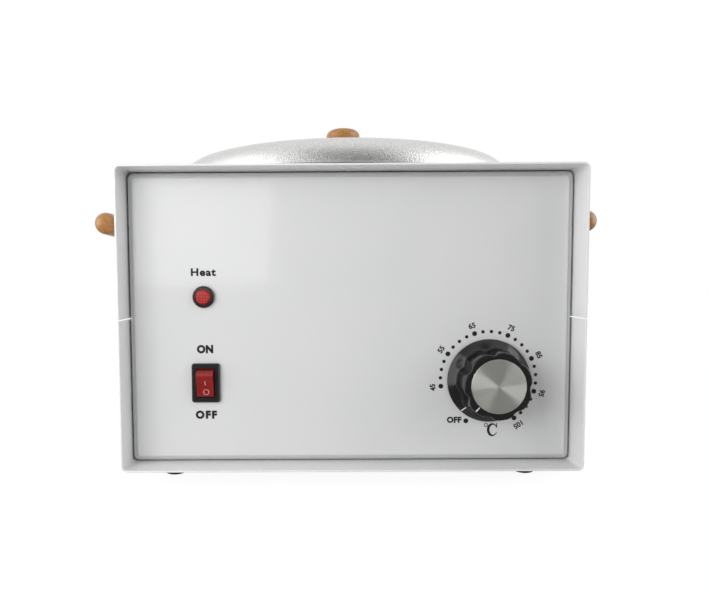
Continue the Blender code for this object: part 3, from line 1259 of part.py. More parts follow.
def make_wiring():
    """Leads between inlet, switch, thermostat, lamp, heater and block, and the capillary tube."""
    tip = BLADE_LENGTH + SEAT_GAP
    switch_y = PANEL_FRONT_Y + SWITCH_HOUSING_DEPTH + tip
    live_top, live_middle, live_low = switch_blades()
    inlet_y = -PANEL_FRONT_Y - INLET_BODY_DEPTH - tip
    # Seen from the back, an offset along the socket's own X runs towards -X
    (first_x, first_z), (earth_x, earth_z), (last_x, last_z) = inlet_pins()
    (near_x, blade_z), (far_x, _) = thermostat_blades()
    thermostat_y = thermostat_back_y() + tip
    floor_run = FLOOR_Z + LEAD_STUB
    way_z = FLOOR_Z + SEAT_GAP + BLOCK_HEIGHT / 2
    way_front = BLOCK_Y - BLOCK_WIDTH / 2 - SEAT_GAP
    way_back = BLOCK_Y + BLOCK_WIDTH / 2 + SEAT_GAP
    way_x = block_way_x(1)
    supply = [
        (INLET_X - last_x, inlet_y, INLET_Z + last_z),
        (INLET_X - last_x, inlet_y - LEAD_STUB, INLET_Z + last_z),
        (SWITCH_X - LEAD_STUB, inlet_y - 4 * LEAD_STUB, floor_run + 2 * LEAD_STUB),
        (SWITCH_X - LEAD_STUB, inlet_y - 7 * LEAD_STUB, floor_run),
        (SWITCH_X - LEAD_STUB, switch_y + 7 * LEAD_STUB, floor_run),
        (SWITCH_X - LEAD_STUB, switch_y + 4 * LEAD_STUB, floor_run + 2 * LEAD_STUB),
        (SWITCH_X, switch_y + LEAD_STUB, live_low),
        (SWITCH_X, switch_y, live_low),
    ]
    tube("lead_supply", supply, LEAD_RADIUS, BROWN_PVC)
    switched = [
        (SWITCH_X, switch_y, live_middle),
        (SWITCH_X, switch_y + LEAD_STUB, live_middle),
        (SWITCH_X + 2 * LEAD_STUB, switch_y + 2 * LEAD_STUB, floor_run + 3 * LEAD_STUB),
        (SWITCH_X + 5 * LEAD_STUB, switch_y + 2 * LEAD_STUB, floor_run + LEAD_STUB),
        (near_x - 5 * LEAD_STUB, switch_y + 2 * LEAD_STUB, floor_run + LEAD_STUB),
        (near_x - 2 * LEAD_STUB, thermostat_y + LEAD_STUB, floor_run + 3 * LEAD_STUB),
        (near_x, thermostat_y + LEAD_STUB, blade_z),
        (near_x, thermostat_y, blade_z),
    ]
    tube("lead_switched", switched, LEAD_RADIUS, BROWN_PVC)
    under_band = BAND_BASE_Z - SEAT_GAP
    band_x, band_y = on_band(HEATER_LEAD_DEGREES)
    heater = [
        (far_x, thermostat_y, blade_z),
        (far_x, thermostat_y + LEAD_STUB, blade_z),
        (band_x, band_y - LEAD_STUB, (blade_z + under_band) / 2),
        (band_x, band_y, under_band - LEAD_STUB),
        (band_x, band_y, under_band),
    ]
    tube("lead_heater", heater, LEAD_RADIUS, BROWN_PVC)
    band_x, band_y = on_band(RETURN_LEAD_DEGREES)
    heater_return = [
        (way_x, way_back, way_z),
        (way_x, way_back + LEAD_STUB, way_z),
        (band_x, band_y, way_z + 3 * LEAD_STUB),
        (band_x, band_y, under_band - LEAD_STUB),
        (band_x, band_y, under_band),
    ]
    tube("lead_return", heater_return, LEAD_RADIUS, BLUE_PVC)
    neutral = [
        (INLET_X - first_x, inlet_y, INLET_Z + first_z),
        (INLET_X - first_x, inlet_y - LEAD_STUB, INLET_Z + first_z),
        (INLET_X - first_x + LEAD_STUB, way_front - 2 * LEAD_STUB, floor_run + 2 * LEAD_STUB),
        (way_x - LEAD_STUB, way_front - 2 * LEAD_STUB, way_z),
        (way_x, way_front - LEAD_STUB, way_z),
        (way_x, way_front, way_z),
    ]
    tube("lead_neutral", neutral, LEAD_RADIUS, BLUE_PVC)
    stud_side = STUD_RADIUS + SEAT_GAP
    earth = [
        (INLET_X - earth_x, inlet_y, INLET_Z + earth_z),
        (INLET_X - earth_x, inlet_y - LEAD_STUB, INLET_Z + earth_z),
        (INLET_X - earth_x, inlet_y - 3 * LEAD_STUB, INLET_Z + earth_z),
        ((INLET_X - earth_x) / 2, inlet_y / 2, floor_run + LEAD_STUB),
        (-stud_side - LEAD_STUB, 0, floor_run + LEAD_STUB),
        (-stud_side, 0, floor_run + LEAD_STUB),
    ]
    tube("lead_earth", earth, LEAD_RADIUS, GREEN_PVC)
    holder_end = LAMP_HOLDER_LENGTH + LAMP_PIN_LENGTH + 2 * SEAT_GAP
    lamp_y = PANEL_BACK_Y + holder_end
    lamp = [
        (LAMP_X, lamp_y, LAMP_Z),
        (LAMP_X, lamp_y + LEAD_STUB / 3, LAMP_Z),
        (LAMP_X - LEAD_STUB, lamp_y + LEAD_STUB / 3, (LAMP_Z + live_top) / 2),
        (SWITCH_X, switch_y + LEAD_STUB / 2, live_top),
        (SWITCH_X, switch_y, live_top),
    ]
    tube("lead_lamp", lamp, LEAD_RADIUS, BROWN_PVC)
    side_x = DIAL_X - THERMOSTAT_WIDTH / 2 - SEAT_GAP
    side_y = thermostat_back_y() - THERMOSTAT_DEPTH / 2
    bulb_end = BULB_X + BULB_LENGTH / 2 + SEAT_GAP
    capillary = [
        (side_x, side_y, DIAL_Z),
        (side_x - LEAD_STUB / 2, side_y, DIAL_Z),
        (side_x, (side_y + BULB_Y) / 2, bulb_z() - LEAD_STUB),
        (bulb_end + LEAD_STUB / 2, BULB_Y, bulb_z()),
        (bulb_end, BULB_Y, bulb_z()),
    ]
    tube("capillary_tube", capillary, CAPILLARY_RADIUS, COPPER)


make_shells()
make_panels()
make_side_screws()
make_feet()
make_well()
make_well_nut()
make_band()
make_jacket()
make_pot()
make_lid()
make_lid_knob()
make_handles()
make_dial()
make_thermostat()
make_bulb()
make_switch()
make_lamp()
make_inlet()
make_block()
make_wiring()
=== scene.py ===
import math

import bpy
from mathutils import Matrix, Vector


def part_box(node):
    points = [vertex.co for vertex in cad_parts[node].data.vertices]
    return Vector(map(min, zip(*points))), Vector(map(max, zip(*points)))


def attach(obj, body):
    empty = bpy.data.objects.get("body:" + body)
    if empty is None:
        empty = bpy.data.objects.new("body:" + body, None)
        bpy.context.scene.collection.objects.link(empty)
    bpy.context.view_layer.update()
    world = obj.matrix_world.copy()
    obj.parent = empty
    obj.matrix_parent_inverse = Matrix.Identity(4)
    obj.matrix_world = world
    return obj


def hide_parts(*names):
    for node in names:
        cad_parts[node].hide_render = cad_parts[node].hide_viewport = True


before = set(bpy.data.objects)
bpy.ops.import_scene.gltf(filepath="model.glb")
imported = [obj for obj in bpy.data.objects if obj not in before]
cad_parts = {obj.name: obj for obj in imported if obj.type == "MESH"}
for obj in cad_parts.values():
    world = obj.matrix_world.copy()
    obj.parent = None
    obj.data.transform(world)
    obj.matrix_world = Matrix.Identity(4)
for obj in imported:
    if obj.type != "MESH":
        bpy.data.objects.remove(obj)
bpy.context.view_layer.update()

# Casing hood and tray
# Two folded sheets of 1 mm steel that meet at a fine seam round the sides. They are
# powder coated white, and the cut edges of the sheet are softly rounded by the coat.


def linear(code):
    """A colour written as sRGB hex, turned to the linear values that a shader takes."""
    channels = [int(code[i : i + 2], 16) / 255 for i in (1, 3, 5)]
    straight = [c / 12.92 if c <= 0.04045 else ((c + 0.055) / 1.055) ** 2.4 for c in channels]
    return (*straight, 1.0)


def new_finish(name, colour, roughness, metallic=0.0, ior=None):
    """A material with one Principled shader, its plain values set on its own sockets."""
    finish = bpy.data.materials.new(name)
    finish.use_nodes = True
    shader = finish.node_tree.nodes["Principled BSDF"]
    shader.inputs["Base Color"].default_value = linear(colour)
    shader.inputs["Roughness"].default_value = roughness
    shader.inputs["Metallic"].default_value = metallic
    if ior is not None:
        shader.inputs["IOR"].default_value = ior
    finish.diffuse_color = linear(colour)
    return finish, shader


def add_node(owner, kind, settings=None, links=None):
    """Adds a node: settings name its options or inputs, links what feeds its inputs."""
    node = owner.node_tree.nodes.new(kind)
    for key, value in (settings or {}).items():
        if isinstance(key, str) and hasattr(node, key):
            setattr(node, key, value)
        else:
            node.inputs[key].default_value = value
    for key, socket in (links or {}).items():
        owner.node_tree.links.new(socket, node.inputs[key])
    return node


def feed(finish, shader, **sockets):
    """Links sockets to the shader's inputs, whose names are written with underscores."""
    for key, socket in sockets.items():
        finish.node_tree.links.new(socket, shader.inputs[key.replace("_", " ")])


def only(piece):
    """Makes one piece the whole selection."""
    bpy.ops.object.select_all(action="DESELECT")
    piece.select_set(True)
    bpy.context.view_layer.objects.active = piece


def apply_modifier(piece, kind, **settings):
    """Adds a modifier with its settings and applies it."""
    only(piece)
    modifier = piece.modifiers.new(kind.lower(), kind)
    for key, value in settings.items():
        setattr(modifier, key, value)
    bpy.ops.object.modifier_apply(modifier=modifier.name)


def smooth_faces(piece, degrees=35):
    """Smooth shading up to an angle, with the flat faces kept flat to the eye."""
    only(piece)
    bpy.ops.object.shade_smooth_by_angle(angle=math.radians(degrees))
    apply_modifier(piece, "WEIGHTED_NORMAL", keep_sharp=True, weight=90)


def set_in_place(piece, name, finish, body, nodes=()):
    """Names a finished piece, gives it its material and joins it to its CAD body."""
    only(piece)
    bpy.ops.object.transform_apply(location=True, rotation=True, scale=True)
    piece.name = name
    piece.data.name = name
    piece.data.materials.clear()
    piece.data.materials.append(finish)
    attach(piece, body)
    if nodes:
        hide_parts(*nodes)
    return piece


def smooth_copy(node, name, finish, body, edge=0.0, degrees=35):
    """A merged copy of a CAD solid with soft edges, for a shape that is already right."""
    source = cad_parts[node]
    piece = bpy.data.objects.new(name, source.data.copy())
    bpy.context.scene.collection.objects.link(piece)
    only(piece)
    bpy.ops.object.mode_set(mode="EDIT")
    bpy.ops.mesh.select_all(action="SELECT")
    bpy.ops.mesh.remove_doubles(threshold=0.000002)
    bpy.ops.mesh.dissolve_limited(angle_limit=math.radians(0.5))
    bpy.ops.object.mode_set(mode="OBJECT")
    if edge:
        apply_modifier(
            piece,
            "BEVEL",
            width=edge,
            segments=2,
            limit_method="ANGLE",
            angle_limit=math.radians(50),
            use_clamp_overlap=True,
        )
    smooth_faces(piece, degrees)
    return set_in_place(piece, name, finish, body, (node,))


# White polyester powder coat: a semi-gloss skin with the faint orange peel of a baked powder
powder_coat, shader = new_finish("white_polyester_powder_coat", "#EBECEB", 0.36, ior=1.5)
place = add_node(powder_coat, "ShaderNodeTexCoord")
# Orange peel on a baked coat is about 1.5 mm from crest to crest
peel = add_node(
    powder_coat,
    "ShaderNodeTexNoise",
    {"Scale": 650.0, "Detail": 2.0},
    {"Vector": place.outputs["Object"]},
)
clouds = add_node(
    powder_coat,
    "ShaderNodeTexNoise",
    {"Scale": 18.0, "Detail": 3.0},
    {"Vector": place.outputs["Object"]},
)
tone = add_node(
    powder_coat,
    "ShaderNodeMix",
    {"data_type": "RGBA", 6: linear("#EDEEED"), 7: linear("#E7E8E7")},
    {0: clouds.outputs["Fac"]},
)
gloss = add_node(
    powder_coat,
    "ShaderNodeMapRange",
    {"To Min": 0.32, "To Max": 0.42},
    {"Value": clouds.outputs["Fac"]},
)
dents = add_node(
    powder_coat,
    "ShaderNodeBump",
    {"Strength": 0.12, "Distance": 0.0001},
    {"Height": peel.outputs["Fac"]},
)
feed(
    powder_coat,
    shader,
    Base_Color=tone.outputs[2],
    Roughness=gloss.outputs["Result"],
    Normal=dents.outputs["Normal"],
)

smooth_copy("upper_shell", "hood_sheet", powder_coat, "casing", edge=0.0003)
smooth_copy("lower_shell", "tray_sheet", powder_coat, "casing", edge=0.0003)

# Front and rear pans
# Shallow steel pans with a bent flange all round, set back inside the two ends of the
# casing and screwed to it. Their coat is painted greyer than the white sheets round
# them: a painted shade for the shade that falls on their bent rims in the recess.
# The greyer coat is a painted shade: a darker copy of the white powder coat
shaded_pan_coat, shader = new_finish("painted_shade_white_powder_coat", "#C6C7C6", 0.4, ior=1.5)
place = add_node(shaded_pan_coat, "ShaderNodeTexCoord")
peel = add_node(
    shaded_pan_coat,
    "ShaderNodeTexNoise",
    {"Scale": 650.0, "Detail": 2.0},
    {"Vector": place.outputs["Object"]},
)
tone = add_node(
    shaded_pan_coat,
    "ShaderNodeMix",
    {"data_type": "RGBA", 6: linear("#C2C3C2"), 7: linear("#CACBCA")},
    {0: peel.outputs["Fac"]},
)
dents = add_node(
    shaded_pan_coat,
    "ShaderNodeBump",
    {"Strength": 0.12, "Distance": 0.0001},
    {"Height": peel.outputs["Fac"]},
)
feed(shaded_pan_coat, shader, Base_Color=tone.outputs[2], Normal=dents.outputs["Normal"])
smooth_copy("front_panel", "front_pan", shaded_pan_coat, "casing")
smooth_copy("rear_panel", "rear_pan", shaded_pan_coat, "casing")

# Control film
# A thin polyester film with a glossy, faintly uneven face, stuck on the front pan. It
# carries the printed scale and words, and its place for a title is left bare.
gloss_film, shader = new_finish("pale_grey_polyester_film", "#DCDCDC", 0.2, ior=1.57)
place = add_node(gloss_film, "ShaderNodeTexCoord")
# The dimples of its embossed face are about 1.8 mm apart
grain = add_node(
    gloss_film,
    "ShaderNodeTexNoise",
    {"Scale": 550.0, "Detail": 1.0},
    {"Vector": place.outputs["Object"]},
)
ripple = add_node(
    gloss_film,
    "ShaderNodeTexNoise",
    {"Scale": 14.0, "Detail": 1.0, "Distortion": 0.6},
    {"Vector": place.outputs["Object"]},
)
tone = add_node(
    gloss_film,
    "ShaderNodeMix",
    {"data_type": "RGBA", 6: linear("#DEDEDE"), 7: linear("#D6D7D7")},
    {0: ripple.outputs["Fac"]},
)
sheen = add_node(
    gloss_film,
    "ShaderNodeMapRange",
    {"To Min": 0.03, "To Max": 0.06},
    {"Value": ripple.outputs["Fac"]},
)
waves = add_node(
    gloss_film,
    "ShaderNodeBump",
    {"Strength": 1.0, "Distance": 0.00004},
    {"Height": grain.outputs["Fac"]},
)
feed(
    gloss_film,
    shader,
    Base_Color=tone.outputs[2],
    Roughness=sheen.outputs["Result"],
    Normal=waves.outputs["Normal"],
)


def dress(node, finish):
    """Gives a CAD node whose shape is right a better finish, in its own slots."""
    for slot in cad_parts[node].material_slots:
        slot.material = finish


dress("panel_overlay", gloss_film)

# Printed scale and words
# Black screen print on the film: a ring of dots with numbers, and the plain words for
# on, off, heat and degrees. Each is a skin of ink 0.02 mm thick.
INK_THICKNESS = 0.00002
FILM_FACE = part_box("panel_overlay")[0][1] - INK_THICKNESS
SCALE_X = 0.0738
SCALE_Z = 0.0558
DOT_CIRCLE = 0.0256
DOT_RADIUS = 0.00132
TICK_RADIUS = 0.00093
NUMBER_CIRCLE = 0.0301
NUMBER_HEIGHT = 0.0028
NUMBER_WEIGHT = 0.00015
# Share of the built-in font's size that a capital letter is high
CAPITAL_SHARE = 0.73

ink, shader = new_finish("black_screen_ink", "#0D0E0F", 0.55, ior=1.5)
place = add_node(ink, "ShaderNodeTexCoord")
pores = add_node(
    ink,
    "ShaderNodeTexNoise",
    {"Scale": 2500.0, "Detail": 1.0},
    {"Vector": place.outputs["Object"]},
)
tone = add_node(
    ink,
    "ShaderNodeMix",
    {"data_type": "RGBA", 6: linear("#0A0B0B"), 7: linear("#151617")},
    {0: pores.outputs["Fac"]},
)
feed(ink, shader, Base_Color=tone.outputs[2])


def printed_word(name, body, x, z, cap_height, width_share, weight, spacing=1.0, turn=0.0):
    """Letters from the built-in font, made a thin mesh that lies on the film."""
    bpy.ops.object.select_all(action="DESELECT")
    bpy.ops.object.text_add(location=(x, FILM_FACE, z), rotation=(math.pi / 2, 0, 0))
    word = bpy.context.object
    word.data.body = body
    word.data.size = cap_height / CAPITAL_SHARE
    word.data.align_x = "CENTER"
    word.data.align_y = "CENTER"
    word.data.offset = weight
    word.data.space_character = spacing
    word.data.extrude = INK_THICKNESS / 2
    word.data.resolution_u = 6
    word.scale = (width_share, 1, 1)
    word.rotation_euler = (math.pi / 2, turn, 0)
    bpy.ops.object.convert(target="MESH")
    bpy.ops.object.transform_apply(location=True, rotation=True, scale=True)
    centre = sum((Vector(corner) for corner in word.bound_box), Vector()) / 8
    bpy.ops.object.mode_set(mode="EDIT")
    bpy.ops.mesh.select_all(action="SELECT")
    bpy.ops.transform.translate(value=(x - centre.x, FILM_FACE - centre.y, z - centre.z))
    bpy.ops.object.mode_set(mode="OBJECT")
    return set_in_place(word, name, ink, "casing")


def printed_dot(name, x, z, radius):
    """A round dot of ink."""
    bpy.ops.object.select_all(action="DESELECT")
    bpy.ops.mesh.primitive_cylinder_add(
        vertices=24,
        radius=radius,
        depth=INK_THICKNESS,
        location=(x, FILM_FACE, z),
        rotation=(math.pi / 2, 0, 0),
    )
    dot = bpy.context.object
    return set_in_place(dot, name, ink, "casing")


def on_scale(circle, turn):
    """The place on a circle round the scale's middle, at an angle from the top."""
    return SCALE_X + circle * math.sin(turn), SCALE_Z + circle * math.cos(turn)


# Angles in degrees, clockwise from the top of the scale
FIRST_MARK = -98.6
MARK_STEP = 40.8
OFF_MARK = -152.8
NUMBERS = (45, 55, 65, 75, 85, 95, 105)
for index, number in enumerate(NUMBERS):
    turn = math.radians(FIRST_MARK + MARK_STEP * index)
    printed_dot(f"scale_dot_{number}", *on_scale(DOT_CIRCLE, turn), DOT_RADIUS)
    x, z = on_scale(NUMBER_CIRCLE, turn)
    name = f"scale_number_{number}"
    printed_word(name, str(number), x, z, NUMBER_HEIGHT, 1.0, NUMBER_WEIGHT, turn=turn)
    if number != NUMBERS[-1]:
        for part in (1, 2, 3):
            turn = math.radians(FIRST_MARK + MARK_STEP * (index + part / 4))
            name = f"scale_tick_{number}_{part}"
            printed_dot(name, *on_scale(DOT_CIRCLE, turn), TICK_RADIUS)
printed_dot("scale_dot_off", *on_scale(DOT_CIRCLE, math.radians(OFF_MARK)), DOT_RADIUS)
printed_word("scale_word_off", "OFF", 0.0558, 0.0336, 0.0031, 0.98, 0.00024, 1.08)
printed_word("switch_word_on", "ON", -0.0781, 0.0726, 0.0040, 0.96, 0.00036, 1.10)
printed_word("switch_word_off", "OFF", -0.0780, 0.0370, 0.0040, 1.0, 0.00036, 1.28)
printed_word("lamp_word_heat", "Heat", -0.0783, 0.1138, 0.0040, 1.12, 0.00021, 1.14)

# The degree sign and its letter have a book face, which the built-in font has not
LETTER_X = 0.0764
LETTER_Z = 0.0281
ARC_STEPS = 20
SIGN_OUTSIDE = 0.0011
SIGN_INSIDE = 0.0007
SIGN_STEP = 0.26


def printed_outline(name, outline, x, z):
    """A thin shape of ink from the points of its outline, in metres about its middle."""
    bpy.ops.object.select_all(action="DESELECT")
    bpy.ops.mesh.primitive_circle_add(vertices=len(outline), radius=0.001, fill_type="NGON")
    shape = bpy.context.object
    for vertex, (across, up) in zip(shape.data.vertices, outline):
        vertex.co = (x + across, FILM_FACE + INK_THICKNESS / 2, z + up)
    bpy.ops.object.mode_set(mode="EDIT")
    bpy.ops.mesh.select_all(action="SELECT")
    bpy.ops.mesh.extrude_region_move(TRANSFORM_OT_translate={"value": (0, -INK_THICKNESS, 0)})
    bpy.ops.mesh.select_all(action="SELECT")
    bpy.ops.mesh.normals_make_consistent(inside=False)
    bpy.ops.object.mode_set(mode="OBJECT")
    return set_in_place(shape, name, ink, "casing")


# The letter's upper serif, its inner bow, its lower end and its outer bow
letter = [(0.0022, 0.0036), (0.0026, 0.0036), (0.0026, 0.0010), (0.0023, 0.0010)]
for step in range(ARC_STEPS + 1):
    angle = math.radians(38 + 284 * step / ARC_STEPS)
    letter.append((0.0004 + 0.0019 * math.cos(angle), 0.0027 * math.sin(angle)))
letter += [(0.0026, -0.0015), (0.0028, -0.0017)]
for step in range(ARC_STEPS + 1):
    angle = math.radians(322 - 270 * step / ARC_STEPS)
    letter.append((-0.0001 + 0.0028 * math.cos(angle), 0.0036 * math.sin(angle)))
letter.append((0.0021, 0.0026))
printed_outline("scale_letter_c", letter, LETTER_X, LETTER_Z)
turns = [SIGN_STEP * step for step in range(25)]
ring = [(SIGN_OUTSIDE * math.cos(turn), SIGN_OUTSIDE * math.sin(turn)) for turn in turns]
ring += [(SIGN_INSIDE * math.cos(turn), SIGN_INSIDE * math.sin(turn)) for turn in reversed(turns)]
printed_outline("scale_degree_sign", ring, LETTER_X - 0.0034, LETTER_Z + 0.0026)

# Lid
# Spun from an aluminium disc: a low crown, a round shoulder and a curled rim. The
# outside is satin, with a fine sparkling grain that a coarse finishing wheel leaves.


def spun(profile, centre, axis, steps):
    """A half section drawn point by point beside an axis, then spun into a round piece."""
    along = Vector(axis).normalized()
    side = along.orthogonal().normalized()
    points = [Vector(centre) + side * radius + along * height for radius, height in profile]
    bpy.ops.object.select_all(action="DESELECT")
    bpy.ops.mesh.primitive_plane_add(size=0.001, location=points[0])
    piece = bpy.context.object
    bpy.ops.object.transform_apply(location=True, rotation=True, scale=True)
    bpy.ops.object.mode_set(mode="EDIT")
    bpy.ops.mesh.select_mode(type="VERT")
    bpy.ops.mesh.select_all(action="SELECT")
    bpy.ops.mesh.merge(type="CENTER")
    for here, there in zip(points, points[1:]):
        bpy.ops.mesh.extrude_region_move(TRANSFORM_OT_translate={"value": there - here})
    bpy.ops.mesh.select_all(action="SELECT")
    bpy.ops.mesh.spin(steps=steps, angle=2 * math.pi, center=centre, axis=along)
    bpy.ops.mesh.select_all(action="SELECT")
    bpy.ops.mesh.remove_doubles(threshold=0.000002)
    bpy.ops.mesh.normals_make_consistent(inside=False)
    bpy.ops.object.mode_set(mode="OBJECT")
    return piece


def bow(centre, radius, start, end, steps):
    """Points on a round corner of a half section, from one angle in degrees to another."""
    points = []
    for step in range(steps + 1):
        angle = math.radians(start + (end - start) * step / steps)
        points.append((centre[0] + radius * math.cos(angle), centre[1] + radius * math.sin(angle)))
    return points


MIDDLE_Y = (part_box("wax_pot")[0][1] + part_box("wax_pot")[1][1]) / 2
LID_RADIUS = 0.112
LID_WALL = 0.0012
RIM_RADIUS = 0.0014
SHOULDER_WIDTH = 0.012
SHOULDER_HEIGHT = 0.014
CROWN = 0.012
SHOULDER_Z = 0.171
LID_STEPS = 14


def lid_face(radius, width, height):
    """Half section of one face of the lid: a low crown, then a round shoulder."""
    flat = radius - width
    points = []
    for step in range(LID_STEPS):
        share = step / LID_STEPS
        points.append((flat * share, SHOULDER_Z + height + CROWN * (1 - share * share)))
    for step in range(LID_STEPS + 1):
        angle = math.pi / 2 * (1 - step / LID_STEPS)
        points.append((flat + width * math.cos(angle), SHOULDER_Z + height * math.sin(angle)))
    return points


outside = lid_face(LID_RADIUS, SHOULDER_WIDTH, SHOULDER_HEIGHT)
inside = lid_face(LID_RADIUS - LID_WALL, SHOULDER_WIDTH - LID_WALL, SHOULDER_HEIGHT - LID_WALL)
curl = bow((LID_RADIUS - RIM_RADIUS, SHOULDER_Z), RIM_RADIUS, 0, -180, 10)[1:]
curl.append((LID_RADIUS - 2 * RIM_RADIUS + 0.0003, SHOULDER_Z + RIM_RADIUS))
inner = [point for point in reversed(inside) if point[1] > SHOULDER_Z + RIM_RADIUS]
lid = spun(outside + curl + inner, (0, MIDDLE_Y, 0), (0, 0, 1), 144)
smooth_faces(lid, 40)

# Satin aluminium: bright, with a soft wide gloss broken by a sparkling grain
satin_aluminium, shader = new_finish("satin_spun_aluminium", "#D8D8D6", 0.32, metallic=1.0)
place = add_node(satin_aluminium, "ShaderNodeTexCoord")
# The grain is under 0.3 mm; it is drawn at 0.6 mm so that it shows
sparkle = add_node(
    satin_aluminium,
    "ShaderNodeTexNoise",
    {"Scale": 1600.0, "Detail": 1.0, "Roughness": 0.6},
    {"Vector": place.outputs["Object"]},
)
patches = add_node(
    satin_aluminium,
    "ShaderNodeTexNoise",
    {"Scale": 30.0, "Detail": 3.0},
    {"Vector": place.outputs["Object"]},
)
tone = add_node(
    satin_aluminium,
    "ShaderNodeMix",
    {"data_type": "RGBA", 6: linear("#B0B0AE"), 7: linear("#FAFAF8")},
    {0: sparkle.outputs["Fac"]},
)
gloss = add_node(
    satin_aluminium,
    "ShaderNodeMapRange",
    {"To Min": 0.24, "To Max": 0.38},
    {"Value": patches.outputs["Fac"]},
)
grain = add_node(
    satin_aluminium,
    "ShaderNodeBump",
    {"Strength": 1.0, "Distance": 0.00025},
    {"Height": sparkle.outputs["Fac"]},
)
feed(
    satin_aluminium,
    shader,
    Base_Color=tone.outputs[2],
    Roughness=gloss.outputs["Result"],
    Normal=grain.outputs["Normal"],
)
set_in_place(lid, "spun_lid", satin_aluminium, "lid", ("lid",))

# Lid knob
# Turned from beech with a waist and a soft dome, sanded and clear varnished. A screw
# from inside the lid holds it.
KNOB_BASE_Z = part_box("lid_knob")[0][2]
KNOB_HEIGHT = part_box("lid_knob")[1][2] - KNOB_BASE_Z
KNOB_RADIUS = 0.0117
KNOB_EDGE = 0.0045
knob_section = [(0, 0), (0.0086, 0), (0.0090, 0.0004), (0.0083, 0.0022), (0.0077, 0.0038)]
knob_section += [(0.0076, 0.0047), (0.0080, 0.0058), (0.0089, 0.0072), (0.0100, 0.0084)]
knob_section += [(0.0108, 0.0094), (0.0114, 0.0104)]
knob_section += bow((KNOB_RADIUS - KNOB_EDGE, 0.0118), KNOB_EDGE, 0, 70, 8)
knob_section += [(0.0070, 0.0165), (0.0050, 0.0170), (0.0025, 0.0173), (0, KNOB_HEIGHT)]
knob = spun(knob_section, (0, MIDDLE_Y, KNOB_BASE_Z), (0, 0, 1), 64)
smooth_faces(knob, 60)


def beech_finish(name, across, along_axis):
    """Varnished beech whose grain lines run along one axis of the piece."""
    finish, glaze = new_finish(name, "#C89050", 0.38, ior=1.5)
    spot = add_node(finish, "ShaderNodeTexCoord")
    # Growth lines are about 2 mm apart and ten times as long; flecks are 0.4 mm wide
    stretch = add_node(
        finish,
        "ShaderNodeMapping",
        {"Scale": [9.0 if index == along_axis else across for index in range(3)]},
        {"Vector": spot.outputs["Object"]},
    )
    rings = add_node(
        finish,
        "ShaderNodeTexNoise",
        {"Scale": 5.0, "Detail": 4.0, "Roughness": 0.6, "Distortion": 0.8},
        {"Vector": stretch.outputs["Vector"]},
    )
    flecks = add_node(
        finish,
        "ShaderNodeTexNoise",
        {"Scale": 28.0, "Detail": 2.0},
        {"Vector": stretch.outputs["Vector"]},
    )
    wood = add_node(
        finish,
        "ShaderNodeMix",
        {"data_type": "RGBA", 6: linear("#985E24"), 7: linear("#C69050")},
        {0: rings.outputs["Fac"]},
    )
    speck = add_node(
        finish,
        "ShaderNodeMapRange",
        {"From Min": 0.55, "From Max": 0.75, "To Max": 0.35},
        {"Value": flecks.outputs["Fac"]},
    )
    wood = add_node(
        finish,
        "ShaderNodeMix",
        {"data_type": "RGBA", 7: linear("#7E4C1E")},
        {0: speck.outputs["Result"], 6: wood.outputs[2]},
    )
    pores = add_node(
        finish,
        "ShaderNodeBump",
        {"Strength": 0.12, "Distance": 0.0001},
        {"Height": flecks.outputs["Fac"]},
    )
    feed(finish, glaze, Base_Color=wood.outputs[2], Normal=pores.outputs["Normal"])
    glaze.inputs["Coat Weight"].default_value = 0.5
    glaze.inputs["Coat Roughness"].default_value = 0.12
    return finish


knob_beech = beech_finish("varnished_beech_knob", 90.0, 0)
set_in_place(knob, "beech_knob", knob_beech, "lid", ("lid_knob",))

# Side grips
# Beech bars with rounded ends and a slight swell, one on each side, varnished as the
# knob is. Each stands off the hood on two plated posts with a collar.
grip_beech = beech_finish("varnished_beech_grip", 100.0, 1)
GRIP_RADIUS = 0.0070
GRIP_SWELL = 0.0007
# Half the length of the bar between its two round ends
GRIP_STRAIGHT = 0.039
SWELL_STEPS = 12
grip_section = bow((0, -GRIP_STRAIGHT), GRIP_RADIUS, -90, 0, 10)
for step in range(1, SWELL_STEPS + 1):
    share = step / SWELL_STEPS
    swell = GRIP_RADIUS + GRIP_SWELL * math.sin(math.pi * share) ** 0.8
    grip_section.append((swell, -GRIP_STRAIGHT + 2 * GRIP_STRAIGHT * share))
grip_section += bow((0, GRIP_STRAIGHT), GRIP_RADIUS, 0, 90, 10)[1:]
for hand in ("left", "right"):
    low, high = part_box(f"handle_grip_{hand}")
    centre = [(a + b) / 2 for a, b in zip(low, high)]
    grip = spun(grip_section, centre, (0, 1, 0), 40)
    smooth_faces(grip, 60)
    name = f"beech_grip_{hand}"
    node = f"handle_grip_{hand}"
    set_in_place(grip, name, grip_beech, "casing", (node,))

# Bright zinc plate on steel: cool grey, with faint cloudy patches in its gloss
zinc_plate, shader = new_finish("bright_zinc_plated_steel", "#BFC1C1", 0.3, metallic=1.0)
place = add_node(zinc_plate, "ShaderNodeTexCoord")
clouds = add_node(
    zinc_plate,
    "ShaderNodeTexNoise",
    {"Scale": 400.0, "Detail": 3.0},
    {"Vector": place.outputs["Object"]},
)
gloss = add_node(
    zinc_plate,
    "ShaderNodeMapRange",
    {"To Min": 0.22, "To Max": 0.42},
    {"Value": clouds.outputs["Fac"]},
)
feed(zinc_plate, shader, Roughness=gloss.outputs["Result"])
for hand in ("left", "right"):
    for end in ("front", "rear"):
        post = f"handle_post_{end}_{hand}"
        name = f"plated_post_{end}_{hand}"
        smooth_copy(post, name, zinc_plate, "casing", degrees=50)
        dress(f"handle_nut_{end}_{hand}", zinc_plate)

# Dial
# A black phenolic knob with a broad conical skirt and seven round lobes parted by
# narrow flutes, polished all over. A turned aluminium disc is let into its face.
PANEL_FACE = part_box("front_panel")[0][1]
DIAL_X = 0.0738
DIAL_Z = 0.0552
REST_TURN = math.radians(137.5)
LOBES = 7
LOBE_POINTS = 24

